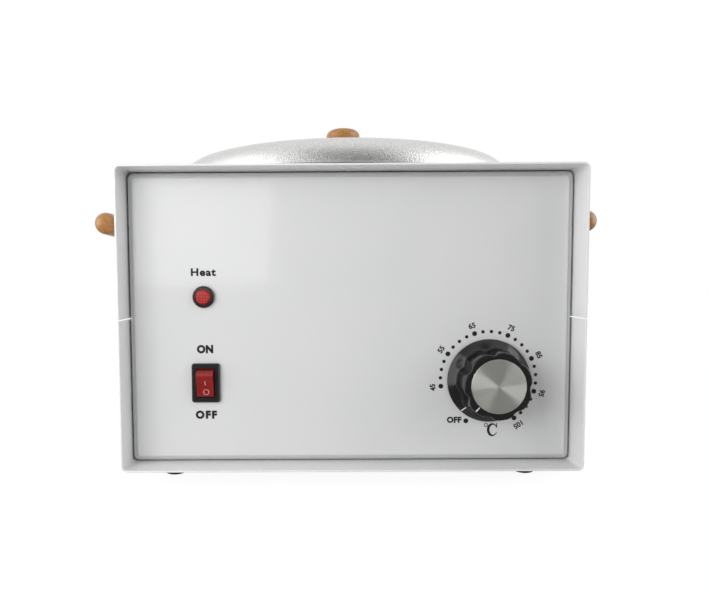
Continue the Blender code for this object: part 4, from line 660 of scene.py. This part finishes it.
phenolic, shader = new_finish("polished_black_phenolic", "#0D0E0F", 0.14, ior=1.54)
place = add_node(phenolic, "ShaderNodeTexCoord")
haze = add_node(
    phenolic,
    "ShaderNodeTexNoise",
    {"Scale": 300.0, "Detail": 3.0},
    {"Vector": place.outputs["Object"]},
)
tone = add_node(
    phenolic,
    "ShaderNodeMix",
    {"data_type": "RGBA", 6: linear("#090A0A"), 7: linear("#131414")},
    {0: haze.outputs["Fac"]},
)
gloss = add_node(
    phenolic,
    "ShaderNodeMapRange",
    {"To Min": 0.1, "To Max": 0.2},
    {"Value": haze.outputs["Fac"]},
)
feed(phenolic, shader, Base_Color=tone.outputs[2], Roughness=gloss.outputs["Result"])

# Rings of the knob from the panel outwards: radius, depth of flute, height before the pan
dial_rings = [
    (0.0212, 0.0, 0.0015),
    (0.0219, 0.0, 0.0016),
    (0.0222, 0.0, 0.0019),
    (0.0222, 0.0, 0.0026),
    (0.0219, 0.0, 0.0029),
    (0.0201, 0.0, 0.0041),
    (0.0188, 0.0007, 0.0050),
    (0.0182, 0.0014, 0.0056),
    (0.0179, 0.0017, 0.0064),
    (0.0178, 0.0017, 0.0095),
    (0.0177, 0.0017, 0.0140),
    (0.0176, 0.0017, 0.0189),
    (0.0175, 0.0016, 0.0196),
    (0.0172, 0.0014, 0.0201),
    (0.0167, 0.0009, 0.0203),
    (0.0150, 0.0, 0.0203),
    (0.01425, 0.0, 0.0203),
    (0.01415, 0.0, 0.0202),
    (0.01415, 0.0, 0.0195),
]


def lobed_knob():
    """A disc extruded ring by ring; each ring is then drawn in at the flutes."""
    count = LOBES * LOBE_POINTS
    bpy.ops.object.select_all(action="DESELECT")
    bpy.ops.mesh.primitive_circle_add(
        vertices=count,
        radius=1,
        fill_type="NGON",
        location=(DIAL_X, PANEL_FACE, DIAL_Z),
        rotation=(math.pi / 2, 0, 0),
    )
    piece = bpy.context.object
    bpy.ops.object.transform_apply(location=True, rotation=True, scale=True)
    bpy.ops.object.mode_set(mode="EDIT")
    bpy.ops.mesh.select_mode(type="FACE")
    bpy.ops.mesh.select_all(action="SELECT")
    for _ in dial_rings[1:]:
        bpy.ops.mesh.extrude_region_move(TRANSFORM_OT_translate={"value": (0, -1, 0)})
    bpy.ops.object.mode_set(mode="OBJECT")
    for vertex in piece.data.vertices:
        ring = round(PANEL_FACE - vertex.co.y)
        radius, depth, height = dial_rings[ring]
        angle = math.atan2(vertex.co.x - DIAL_X, vertex.co.z - DIAL_Z)
        flute = ((1 - math.cos(LOBES * (angle + REST_TURN))) / 2) ** 3
        reach = radius - depth * flute
        vertex.co.x = DIAL_X + reach * math.sin(angle)
        vertex.co.y = PANEL_FACE - height
        vertex.co.z = DIAL_Z + reach * math.cos(angle)
    only(piece)
    bpy.ops.object.mode_set(mode="EDIT")
    bpy.ops.mesh.select_all(action="SELECT")
    bpy.ops.mesh.normals_make_consistent(inside=False)
    bpy.ops.object.mode_set(mode="OBJECT")
    smooth_faces(piece, 50)
    return piece


dial_knob = lobed_knob()
set_in_place(dial_knob, "fluted_knob", phenolic, "dial", ("dial_knob",))

CAP_RADIUS = 0.01385
cap_section = [(0, 0.01980), (CAP_RADIUS, 0.01980), (CAP_RADIUS, 0.02065)]
cap_section += [(CAP_RADIUS - 0.00025, 0.0208), (0.0100, 0.02088), (0.0050, 0.02096), (0, 0.0210)]
cap = spun(cap_section, (DIAL_X, PANEL_FACE, DIAL_Z), (0, -1, 0), 96)
smooth_faces(cap, 30)

# Turned aluminium: fine rings round the centre draw its gloss into a bow tie of light
turned_aluminium, shader = new_finish("turned_aluminium", "#F0F0EC", 0.56, metallic=1.0)
place = add_node(turned_aluminium, "ShaderNodeTexCoord")
centred = add_node(
    turned_aluminium,
    "ShaderNodeMapping",
    {"Location": (-DIAL_X, 0.0, -DIAL_Z)},
    {"Vector": place.outputs["Object"]},
)
# Tool rings are 0.1 mm apart on the real cap; they are drawn 0.4 mm apart to show
rings = add_node(
    turned_aluminium,
    "ShaderNodeTexWave",
    {
        "wave_type": "RINGS",
        "rings_direction": "Y",
        "Scale": 785.0,
        "Distortion": 0.4,
        "Detail": 1.0,
    },
    {"Vector": centred.outputs["Vector"]},
)
tone = add_node(
    turned_aluminium,
    "ShaderNodeMix",
    {"data_type": "RGBA", 6: linear("#ECECE6"), 7: linear("#F6F6F0")},
    {0: rings.outputs["Fac"]},
)
grooves = add_node(
    turned_aluminium,
    "ShaderNodeBump",
    {"Strength": 0.2, "Distance": 0.00003},
    {"Height": rings.outputs["Fac"]},
)
round_about = add_node(
    turned_aluminium, "ShaderNodeTangent", {"direction_type": "RADIAL", "axis": "Y"}
)
feed(
    turned_aluminium,
    shader,
    Base_Color=tone.outputs[2],
    Normal=grooves.outputs["Normal"],
    Tangent=round_about.outputs["Tangent"],
)
shader.inputs["Anisotropic"].default_value = 1.0
shader.inputs["Anisotropic Rotation"].default_value = 0.25
set_in_place(cap, "turned_cap", turned_aluminium, "dial", ("dial_cap",))
dress("thermostat_spindle", zinc_plate)

# White paint for the pointer strokes on the skirt and the knob's face
white_paint, shader = new_finish("white_filler_paint", "#E8E8E4", 0.5, ior=1.5)
place = add_node(white_paint, "ShaderNodeTexCoord")
brush = add_node(
    white_paint,
    "ShaderNodeTexNoise",
    {"Scale": 1500.0, "Detail": 1.0},
    {"Vector": place.outputs["Object"]},
)
tone = add_node(
    white_paint,
    "ShaderNodeMix",
    {"data_type": "RGBA", 6: linear("#DCDCD6"), 7: linear("#F0F0EC")},
    {0: brush.outputs["Fac"]},
)
feed(white_paint, shader, Base_Color=tone.outputs[2])


PAINT_THICKNESS = 0.00006


def pointer_stroke(name, inner, outer, width):
    """A thin bar of paint between two points given as radius and height before the pan."""
    out = Vector((-math.sin(REST_TURN), 0, math.cos(REST_TURN)))
    aside = Vector((math.cos(REST_TURN), 0, math.sin(REST_TURN)))
    start = Vector((DIAL_X, PANEL_FACE - inner[1], DIAL_Z)) + out * inner[0]
    end = Vector((DIAL_X, PANEL_FACE - outer[1], DIAL_Z)) + out * outer[0]
    run = (end - start).normalized()
    lift = run.cross(aside)
    if lift.y > 0:
        lift = -lift
    bpy.ops.object.select_all(action="DESELECT")
    bpy.ops.mesh.primitive_cube_add(size=1)
    stroke = bpy.context.object
    for vertex in stroke.data.vertices:
        along = (vertex.co.x + 0.5) * (end - start).length
        spread = width * (0.75 + 0.25 * (vertex.co.x + 0.5))
        raised = lift * (vertex.co.z * PAINT_THICKNESS)
        vertex.co = start + run * along + aside * (vertex.co.y * spread) + raised
    only(stroke)
    bpy.ops.object.mode_set(mode="EDIT")
    bpy.ops.mesh.select_all(action="SELECT")
    bpy.ops.mesh.normals_make_consistent(inside=False)
    bpy.ops.object.mode_set(mode="OBJECT")
    return set_in_place(stroke, name, white_paint, "dial")


pointer_stroke("skirt_pointer", (0.0188, 0.0050), (0.0219, 0.0029), 0.0006)
pointer_stroke("face_pointer", (0.0143, 0.0203), (0.0170, 0.0203), 0.0007)

# Rocker switch
# A black nylon frame with a round pocket, and a clear red rocker that tips in it. The
# rocker's upper end stands out at rest, and a white line and ring are raised on its face.
black_nylon, shader = new_finish("moulded_black_nylon", "#131415", 0.42, ior=1.53)
place = add_node(black_nylon, "ShaderNodeTexCoord")
# Spark-eroded mould texture, about 0.4 mm
spark = add_node(
    black_nylon,
    "ShaderNodeTexNoise",
    {"Scale": 2200.0, "Detail": 2.0},
    {"Vector": place.outputs["Object"]},
)
tone = add_node(
    black_nylon,
    "ShaderNodeMix",
    {"data_type": "RGBA", 6: linear("#0A0B0B"), 7: linear("#131414")},
    {0: spark.outputs["Fac"]},
)
grain = add_node(
    black_nylon,
    "ShaderNodeBump",
    {"Strength": 0.15, "Distance": 0.00004},
    {"Height": spark.outputs["Fac"]},
)
feed(black_nylon, shader, Base_Color=tone.outputs[2], Normal=grain.outputs["Normal"])
smooth_copy("switch_body", "switch_frame", black_nylon, "casing", edge=0.0001)

# Clear red polycarbonate: light enters and glows back, deep red where it is thick
red_clear, shader = new_finish("clear_red_polycarbonate", "#9A1014", 0.14, ior=1.58)
place = add_node(red_clear, "ShaderNodeTexCoord")
# Upright ribs inside the clear wall are 1 mm apart
ribbed = add_node(
    red_clear,
    "ShaderNodeMapping",
    {"Scale": (900.0, 60.0, 150.0)},
    {"Vector": place.outputs["Object"]},
)
swirl = add_node(
    red_clear,
    "ShaderNodeTexNoise",
    {"Scale": 1.0, "Detail": 2.0},
    {"Vector": ribbed.outputs["Vector"]},
)
tone = add_node(
    red_clear,
    "ShaderNodeMix",
    {"data_type": "RGBA", 6: linear("#560507"), 7: linear("#AE1B1A")},
    {0: swirl.outputs["Fac"]},
)
feed(red_clear, shader, Base_Color=tone.outputs[2])
shader.inputs["Subsurface Weight"].default_value = 0.2
shader.inputs["Subsurface Radius"].default_value = (1.0, 0.08, 0.06)
shader.inputs["Subsurface Scale"].default_value = 0.002
rocker = smooth_copy(
    "switch_rocker", "red_rocker", red_clear, "rocker", edge=0.00035
)


# The marks stand a little out of the rocker's face, and their backs lie just inside it
MARK_FRONT = 0.00008
MARK_BACK = -0.00002
# Where a mark is drawn before it is laid on the face, well before the rocker
BEFORE_FACE = -0.2
RING_OUTSIDE = 0.0015
RING_INSIDE = 0.00136


def rocker_mark(name, outline, x, z):
    """A thin raised mark, its outline in metres about its middle, laid on the rocker."""
    bpy.ops.object.select_all(action="DESELECT")
    bpy.ops.mesh.primitive_circle_add(vertices=len(outline), radius=0.001, fill_type="NGON")
    mark = bpy.context.object
    for vertex, (across, up) in zip(mark.data.vertices, outline):
        vertex.co = (x + across, BEFORE_FACE, z + up)
    bpy.ops.object.mode_set(mode="EDIT")
    bpy.ops.mesh.select_all(action="SELECT")
    bpy.ops.mesh.quads_convert_to_tris()
    bpy.ops.mesh.extrude_region_move(TRANSFORM_OT_translate={"value": (0, -0.1, 0)})
    bpy.ops.object.mode_set(mode="OBJECT")
    for vertex in mark.data.vertices:
        lift = MARK_FRONT if vertex.co.y < BEFORE_FACE - 0.05 else MARK_BACK
        start = Vector((vertex.co.x, BEFORE_FACE, vertex.co.z))
        vertex.co.y = rocker.ray_cast(start, (0, 1, 0))[1].y - lift
    bpy.ops.object.mode_set(mode="EDIT")
    bpy.ops.mesh.select_all(action="SELECT")
    bpy.ops.mesh.normals_make_consistent(inside=False)
    bpy.ops.object.mode_set(mode="OBJECT")
    return set_in_place(mark, name, white_paint, "rocker")


line = [(0.0001, 0.0011), (-0.0001, 0.0011), (-0.0001, 0.0)]
line += [(-0.0001, -0.0011), (0.0001, -0.0011), (0.0001, 0.0)]
rocker_mark("rocker_line", line, -0.0775, 0.0549)
turns = [2 * math.pi * step / 28 for step in range(29)]
ring = [(RING_OUTSIDE * math.cos(turn), RING_OUTSIDE * math.sin(turn)) for turn in turns]
ring += [(RING_INSIDE * math.cos(turn), RING_INSIDE * math.sin(turn)) for turn in reversed(turns)]
rocker_mark("rocker_ring", ring, -0.0771, 0.0500)

# Pilot lamp
# A red lens moulded with a flange and a raised button, ribbed inside so that the light
# behind it spreads. Its neck screws into a black holder behind the pan.
LAMP_X = -0.0783
LAMP_Z = 0.1006
lens_section = [(0, -0.0060), (0.0045, -0.0060), (0.0045, 0.0010), (0.0056, 0.0010)]
lens_section += bow((0.0055, 0.00135), 0.00035, -90, 0, 3)
lens_section += bow((0.00515, 0.0017), 0.0007, 0, 90, 5)
lens_section += [(0.0040, 0.0024), (0.0037, 0.0025)]
lens_section += bow((0.0030, 0.0033), 0.0007, 0, 90, 5)
lens_section += [(0, 0.0040)]
lens = spun(lens_section, (LAMP_X, PANEL_FACE, LAMP_Z), (0, -1, 0), 48)
smooth_faces(lens, 40)

# Clear red lens: the flange is painted nearly black, a painted shade for the black holder behind
# it, and the ribbed middle has bright painted glow lines
lens_red, shader = new_finish("ribbed_red_lens", "#A01216", 0.1, ior=1.58)
place = add_node(lens_red, "ShaderNodeTexCoord")
centred = add_node(
    lens_red,
    "ShaderNodeMapping",
    {"Location": (-LAMP_X, 0.0, -LAMP_Z)},
    {"Vector": place.outputs["Object"]},
)
level = add_node(
    lens_red,
    "ShaderNodeVectorMath",
    {"operation": "MULTIPLY", 1: (1.0, 0.0, 1.0)},
    {0: centred.outputs["Vector"]},
)
reach = add_node(
    lens_red, "ShaderNodeVectorMath", {"operation": "LENGTH"}, {0: level.outputs["Vector"]}
)
# The moulded ribs cross at 0.8 mm
upright = add_node(
    lens_red,
    "ShaderNodeTexWave",
    {"bands_direction": "X", "Scale": 390.0},
    {"Vector": centred.outputs["Vector"]},
)
across = add_node(
    lens_red,
    "ShaderNodeTexWave",
    {"bands_direction": "Z", "Scale": 390.0},
    {"Vector": centred.outputs["Vector"]},
)
grid = add_node(
    lens_red,
    "ShaderNodeMath",
    {"operation": "MULTIPLY"},
    {0: upright.outputs["Fac"], 1: across.outputs["Fac"]},
)
# The brighter grid lines are a painted glow: light through the ribs painted into the base colour
glow = add_node(
    lens_red,
    "ShaderNodeMix",
    {"data_type": "RGBA", 6: linear("#8A0C10"), 7: linear("#E8483C")},
    {0: grid.outputs["Value"]},
)
# The dark ring is a painted shade: the flange painted nearly black for the black holder behind it
flange = add_node(
    lens_red,
    "ShaderNodeMapRange",
    {"From Min": 0.0034, "From Max": 0.0042},
    {"Value": reach.outputs["Value"]},
)
tone = add_node(
    lens_red,
    "ShaderNodeMix",
    {"data_type": "RGBA", 7: linear("#2C0507")},
    {0: flange.outputs["Result"], 6: glow.outputs[2]},
)
ribs = add_node(
    lens_red,
    "ShaderNodeBump",
    {"Strength": 0.3, "Distance": 0.0001},
    {"Height": grid.outputs["Value"]},
)
feed(lens_red, shader, Base_Color=tone.outputs[2], Normal=ribs.outputs["Normal"])
set_in_place(lens, "red_lens", lens_red, "casing", ("lamp_lens",))
dress("lamp_body", black_nylon)

# Feet
# Black rubber feet, tapered, pushed through the tray by barbed stems.
black_rubber, shader = new_finish("black_rubber", "#161616", 0.8, ior=1.52)
place = add_node(black_rubber, "ShaderNodeTexCoord")
dust = add_node(
    black_rubber,
    "ShaderNodeTexNoise",
    {"Scale": 900.0, "Detail": 4.0},
    {"Vector": place.outputs["Object"]},
)
tone = add_node(
    black_rubber,
    "ShaderNodeMix",
    {"data_type": "RGBA", 6: linear("#111111"), 7: linear("#262626")},
    {0: dust.outputs["Fac"]},
)
rough = add_node(
    black_rubber,
    "ShaderNodeBump",
    {"Strength": 0.3, "Distance": 0.00008},
    {"Height": dust.outputs["Fac"]},
)
feed(black_rubber, shader, Base_Color=tone.outputs[2], Normal=rough.outputs["Normal"])
foot_section = [(0, 0), (0.0048, 0), (0.0055, 0.0003), (0.0060, 0.0010), (0.0079, 0.0092)]
foot_section += [(0.0078, 0.0097), (0.0020, 0.0097), (0.0020, 0.0113), (0.0028, 0.0113)]
foot_section += [(0.0020, 0.0143), (0, 0.0143)]
for end in ("front", "rear"):
    for hand in ("left", "right"):
        node = f"foot_{end}_{hand}"
        low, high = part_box(node)
        centre = ((low[0] + high[0]) / 2, (low[1] + high[1]) / 2, 0)
        foot = spun(foot_section, centre, (0, 0, 1), 32)
        smooth_faces(foot, 40)
        set_in_place(foot, f"rubber_{node}", black_rubber, "casing", (node,))

# Heating well and lift-out pot
# Both are spun aluminium with fine rings from the roller. The pot's beaded rim rests on
# the well's flange, and the well is held down by a nut on a stud under its floor.
spun_aluminium, shader = new_finish("roller_spun_aluminium", "#C9C9C6", 0.34, metallic=1.0)
place = add_node(spun_aluminium, "ShaderNodeTexCoord")
centred = add_node(
    spun_aluminium,
    "ShaderNodeMapping",
    {"Location": (0.0, -MIDDLE_Y, 0.0)},
    {"Vector": place.outputs["Object"]},
)
rings = add_node(
    spun_aluminium,
    "ShaderNodeTexWave",
    {
        "wave_type": "RINGS",
        "rings_direction": "SPHERICAL",
        "Scale": 210.0,
        "Distortion": 1.5,
        "Detail": 2.0,
    },
    {"Vector": centred.outputs["Vector"]},
)
tone = add_node(
    spun_aluminium,
    "ShaderNodeMix",
    {"data_type": "RGBA", 6: linear("#BDBDBA"), 7: linear("#D2D2CF")},
    {0: rings.outputs["Fac"]},
)
grooves = add_node(
    spun_aluminium,
    "ShaderNodeBump",
    {"Strength": 0.15, "Distance": 0.00005},
    {"Height": rings.outputs["Fac"]},
)
feed(spun_aluminium, shader, Base_Color=tone.outputs[2], Normal=grooves.outputs["Normal"])
smooth_copy("heating_well", "spun_well", spun_aluminium, "casing")
smooth_copy("wax_pot", "spun_pot", spun_aluminium, "pot")
dress("well_nut", zinc_plate)
dress("lid_screw", zinc_plate)

# Side screws
# Plated pan-head screws that hold the pans' flanges to the two sheets.
for row in ("upper", "lower"):
    for end in ("front", "rear"):
        for hand in ("left", "right"):
            screw = f"side_screw_{row}_{end}_{hand}"
            name = f"pan_head_{row}_{end}_{hand}"
            smooth_copy(screw, name, zinc_plate, "casing", degrees=50)

# Heater and works inside the casing
# A mica band heater and its glass jacket round the well, the thermostat with its copper
# capillary, the mains inlet, a terminal block and the leads between them.
WORKS = {
    "heater_band": ("mica_band_steel", "#8F8D87", "#A5A39C", 0.42, 1.0, 200.0),
    "insulation_jacket": ("woven_glass_fibre", "#D8D5C9", "#EAE7DC", 0.9, 0.0, 700.0),
    "capillary_bulb": ("drawn_copper", "#B4714A", "#C98660", 0.3, 1.0, 500.0),
    "terminal_block": ("cream_nylon", "#E2DBC4", "#EFE8D2", 0.5, 0.0, 900.0),
    "lead_supply": ("brown_pvc_sleeve", "#4A2A1A", "#5C3624", 0.45, 0.0, 900.0),
    "lead_neutral": ("blue_pvc_sleeve", "#1C4B9C", "#2A5CB0", 0.45, 0.0, 900.0),
    "lead_earth": ("green_pvc_sleeve", "#2C7A34", "#3C9044", 0.45, 0.0, 900.0),
}
SAME_WORKS = {
    "capillary_bulb": ("capillary_tube",),
    "lead_supply": ("lead_switched", "lead_heater", "lead_lamp"),
    "lead_neutral": ("lead_return",),
}
for node, (label, dark, pale, roughness, metallic, scale) in WORKS.items():
    finish, shader = new_finish(label, dark, roughness, metallic)
    place = add_node(finish, "ShaderNodeTexCoord")
    mottle = add_node(
        finish,
        "ShaderNodeTexNoise",
        {"Scale": scale, "Detail": 3.0},
        {"Vector": place.outputs["Object"]},
    )
    tone = add_node(
        finish,
        "ShaderNodeMix",
        {"data_type": "RGBA", 6: linear(dark), 7: linear(pale)},
        {0: mottle.outputs["Fac"]},
    )
    bumps = add_node(
        finish,
        "ShaderNodeBump",
        {"Strength": 0.2, "Distance": 0.0001},
        {"Height": mottle.outputs["Fac"]},
    )
    feed(finish, shader, Base_Color=tone.outputs[2], Normal=bumps.outputs["Normal"])
    for name in (node, *SAME_WORKS.get(node, ())):
        dress(name, finish)
for node in ("band_screw", "bulb_clip"):
    dress(node, zinc_plate)
for hand in ("left", "right"):
    dress(f"thermostat_screw_{hand}", zinc_plate)
    dress(f"inlet_screw_{hand}", zinc_plate)
for node in ("thermostat_body", "inlet_socket"):
    dress(node, black_nylon)

# Floor, light and camera
# A white sweep of paper, soft light from the front and both sides, and the camera at
# the place and lens that the casing's edges in the photograph give.
bpy.ops.object.select_all(action="DESELECT")
bpy.ops.mesh.primitive_plane_add(size=12, location=(0, 0, 0))
floor = bpy.context.object
floor.name = "floor"
paper, shader = new_finish("white_paper", "#D8D8D8", 0.9)
seen = add_node(paper, "ShaderNodeLightPath")
either = add_node(
    paper,
    "ShaderNodeMath",
    {"operation": "MAXIMUM"},
    {0: seen.outputs["Is Camera Ray"], 1: seen.outputs["Is Glossy Ray"]},
)
either = add_node(
    paper,
    "ShaderNodeMath",
    {"operation": "MAXIMUM"},
    {0: either.outputs["Value"], 1: seen.outputs["Is Transmission Ray"]},
)
share = add_node(
    paper, "ShaderNodeMath", {"operation": "MULTIPLY", 1: 0.8}, {0: either.outputs["Value"]}
)
glow = add_node(paper, "ShaderNodeEmission", {"Color": (1, 1, 1, 1), "Strength": 1.16})
blend = add_node(
    paper,
    "ShaderNodeMixShader",
    {},
    {0: share.outputs["Value"], 1: shader.outputs["BSDF"], 2: glow.outputs["Emission"]},
)
surface = paper.node_tree.nodes["Material Output"].inputs["Surface"]
paper.node_tree.links.new(blend.outputs["Shader"], surface)
floor.data.materials.append(paper)
# Polished black pieces in the photograph mirror a dim room and not the paper
floor.visible_glossy = False

# The studio: a white sweep behind and beside the object, a dim room behind the camera
world = bpy.data.worlds.new("studio")
bpy.context.scene.world = world
world.use_nodes = True
path = add_node(world, "ShaderNodeLightPath")
towards = add_node(world, "ShaderNodeTexCoord")
facing = add_node(
    world,
    "ShaderNodeVectorMath",
    {"operation": "DOT_PRODUCT", 1: (0.0, -0.97, -0.25)},
    {0: towards.outputs["Generated"]},
)
dimming = add_node(
    world,
    "ShaderNodeMapRange",
    {
        "interpolation_type": "SMOOTHSTEP",
        "From Min": 0.12,
        "From Max": 0.62,
        "To Min": 1.0,
        "To Max": 0.27,
    },
    {"Value": facing.outputs["Value"]},
)
height = add_node(world, "ShaderNodeSeparateXYZ", {}, {0: towards.outputs["Generated"]})
table = add_node(
    world,
    "ShaderNodeMapRange",
    {
        "interpolation_type": "SMOOTHSTEP",
        "From Min": -0.45,
        "From Max": 0.0,
        "To Min": 0.25,
        "To Max": 1.0,
    },
    {"Value": height.outputs["Z"]},
)
dimmest = add_node(
    world,
    "ShaderNodeMath",
    {"operation": "MINIMUM"},
    {0: dimming.outputs["Result"], 1: table.outputs["Result"]},
)
# What lights the object, what its gloss mirrors, and what the camera sees behind it
room = world.node_tree.nodes["Background"]
room.inputs["Color"].default_value = (1, 1, 1, 1)
room.inputs["Strength"].default_value = 0.42
mirrored = add_node(
    world,
    "ShaderNodeBackground",
    {"Color": (1, 1, 1, 1)},
    {"Strength": dimmest.outputs["Value"]},
)
white = add_node(world, "ShaderNodeBackground", {"Color": (1, 1, 1, 1), "Strength": 1.0})
through = add_node(
    world,
    "ShaderNodeMath",
    {"operation": "MAXIMUM"},
    {0: path.outputs["Is Camera Ray"], 1: path.outputs["Is Transmission Ray"]},
)
plain = add_node(
    world,
    "ShaderNodeMixShader",
    {},
    {
        0: path.outputs["Is Glossy Ray"],
        1: room.outputs["Background"],
        2: mirrored.outputs["Background"],
    },
)
mixed = add_node(
    world,
    "ShaderNodeMixShader",
    {},
    {
        0: through.outputs["Value"],
        1: plain.outputs["Shader"],
        2: white.outputs["Background"],
    },
)
surface = world.node_tree.nodes["World Output"].inputs["Surface"]
world.node_tree.links.new(mixed.outputs["Shader"], surface)


def soft_box(name, place, wide, tall, watts, aim=(0, 0, 0.1)):
    """A soft light of a width and height, aimed at the middle of the object if not told."""
    light = bpy.data.lights.new(name, "AREA")
    light.shape = "RECTANGLE"
    light.size = wide
    light.size_y = tall
    light.energy = watts
    lamp = bpy.data.objects.new(name, light)
    bpy.context.scene.collection.objects.link(lamp)
    lamp.location = place
    lamp.rotation_euler = (Vector(aim) - Vector(place)).to_track_quat("-Z", "Y").to_euler()
    return lamp


# The fill lamp fades towards the right and shows in no gloss. The small window is what the
# film mirrors in its upper left part, and the two broad cards are what the metal mirrors.
fill = soft_box("fill_light", (-0.33, -0.45, 0.2), 0.3, 0.3, 0.94, aim=(-0.14, -0.1, 0.11))
fill.visible_glossy = False
soft_box("window_light", (-0.2, -0.565, 0.17), 0.24, 0.14, 0.14)
soft_box("left_card", (-1.95, -0.95, 0.45), 2.0, 2.3, 23.0)
soft_box("right_card", (2.1, -0.6, 0.45), 2.0, 2.3, 27.0)

# In pixels of the photograph's frame: its size, the lens, and the point straight ahead
IMAGE_WIDTH = 709
IMAGE_HEIGHT = 616
FOCAL_LENGTH = 578.62
AXIS_X = 321.49
AXIS_Y = 312.16
SENSOR = 36.0
CAMERA_X = -0.01486
CAMERA_DISTANCE = 0.29423
CAMERA_Z = 0.11079
eye = bpy.data.cameras.new("camera")
camera = bpy.data.objects.new("camera", eye)
bpy.context.scene.collection.objects.link(camera)
camera.location = (CAMERA_X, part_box("lower_shell")[0][1] - CAMERA_DISTANCE, CAMERA_Z)
camera.rotation_euler = (math.radians(90 - 3.451), math.radians(0.283), math.radians(0.110))
eye.sensor_width = SENSOR
eye.lens = FOCAL_LENGTH / IMAGE_WIDTH * SENSOR
eye.shift_x = (IMAGE_WIDTH / 2 - AXIS_X) / IMAGE_WIDTH
eye.shift_y = (AXIS_Y - IMAGE_HEIGHT / 2) / IMAGE_WIDTH
eye.clip_start = 0.01
eye.clip_end = 50.0
eye.dof.use_dof = False
bpy.context.scene.camera = camera
bpy.context.scene.view_settings.view_transform = "Standard"
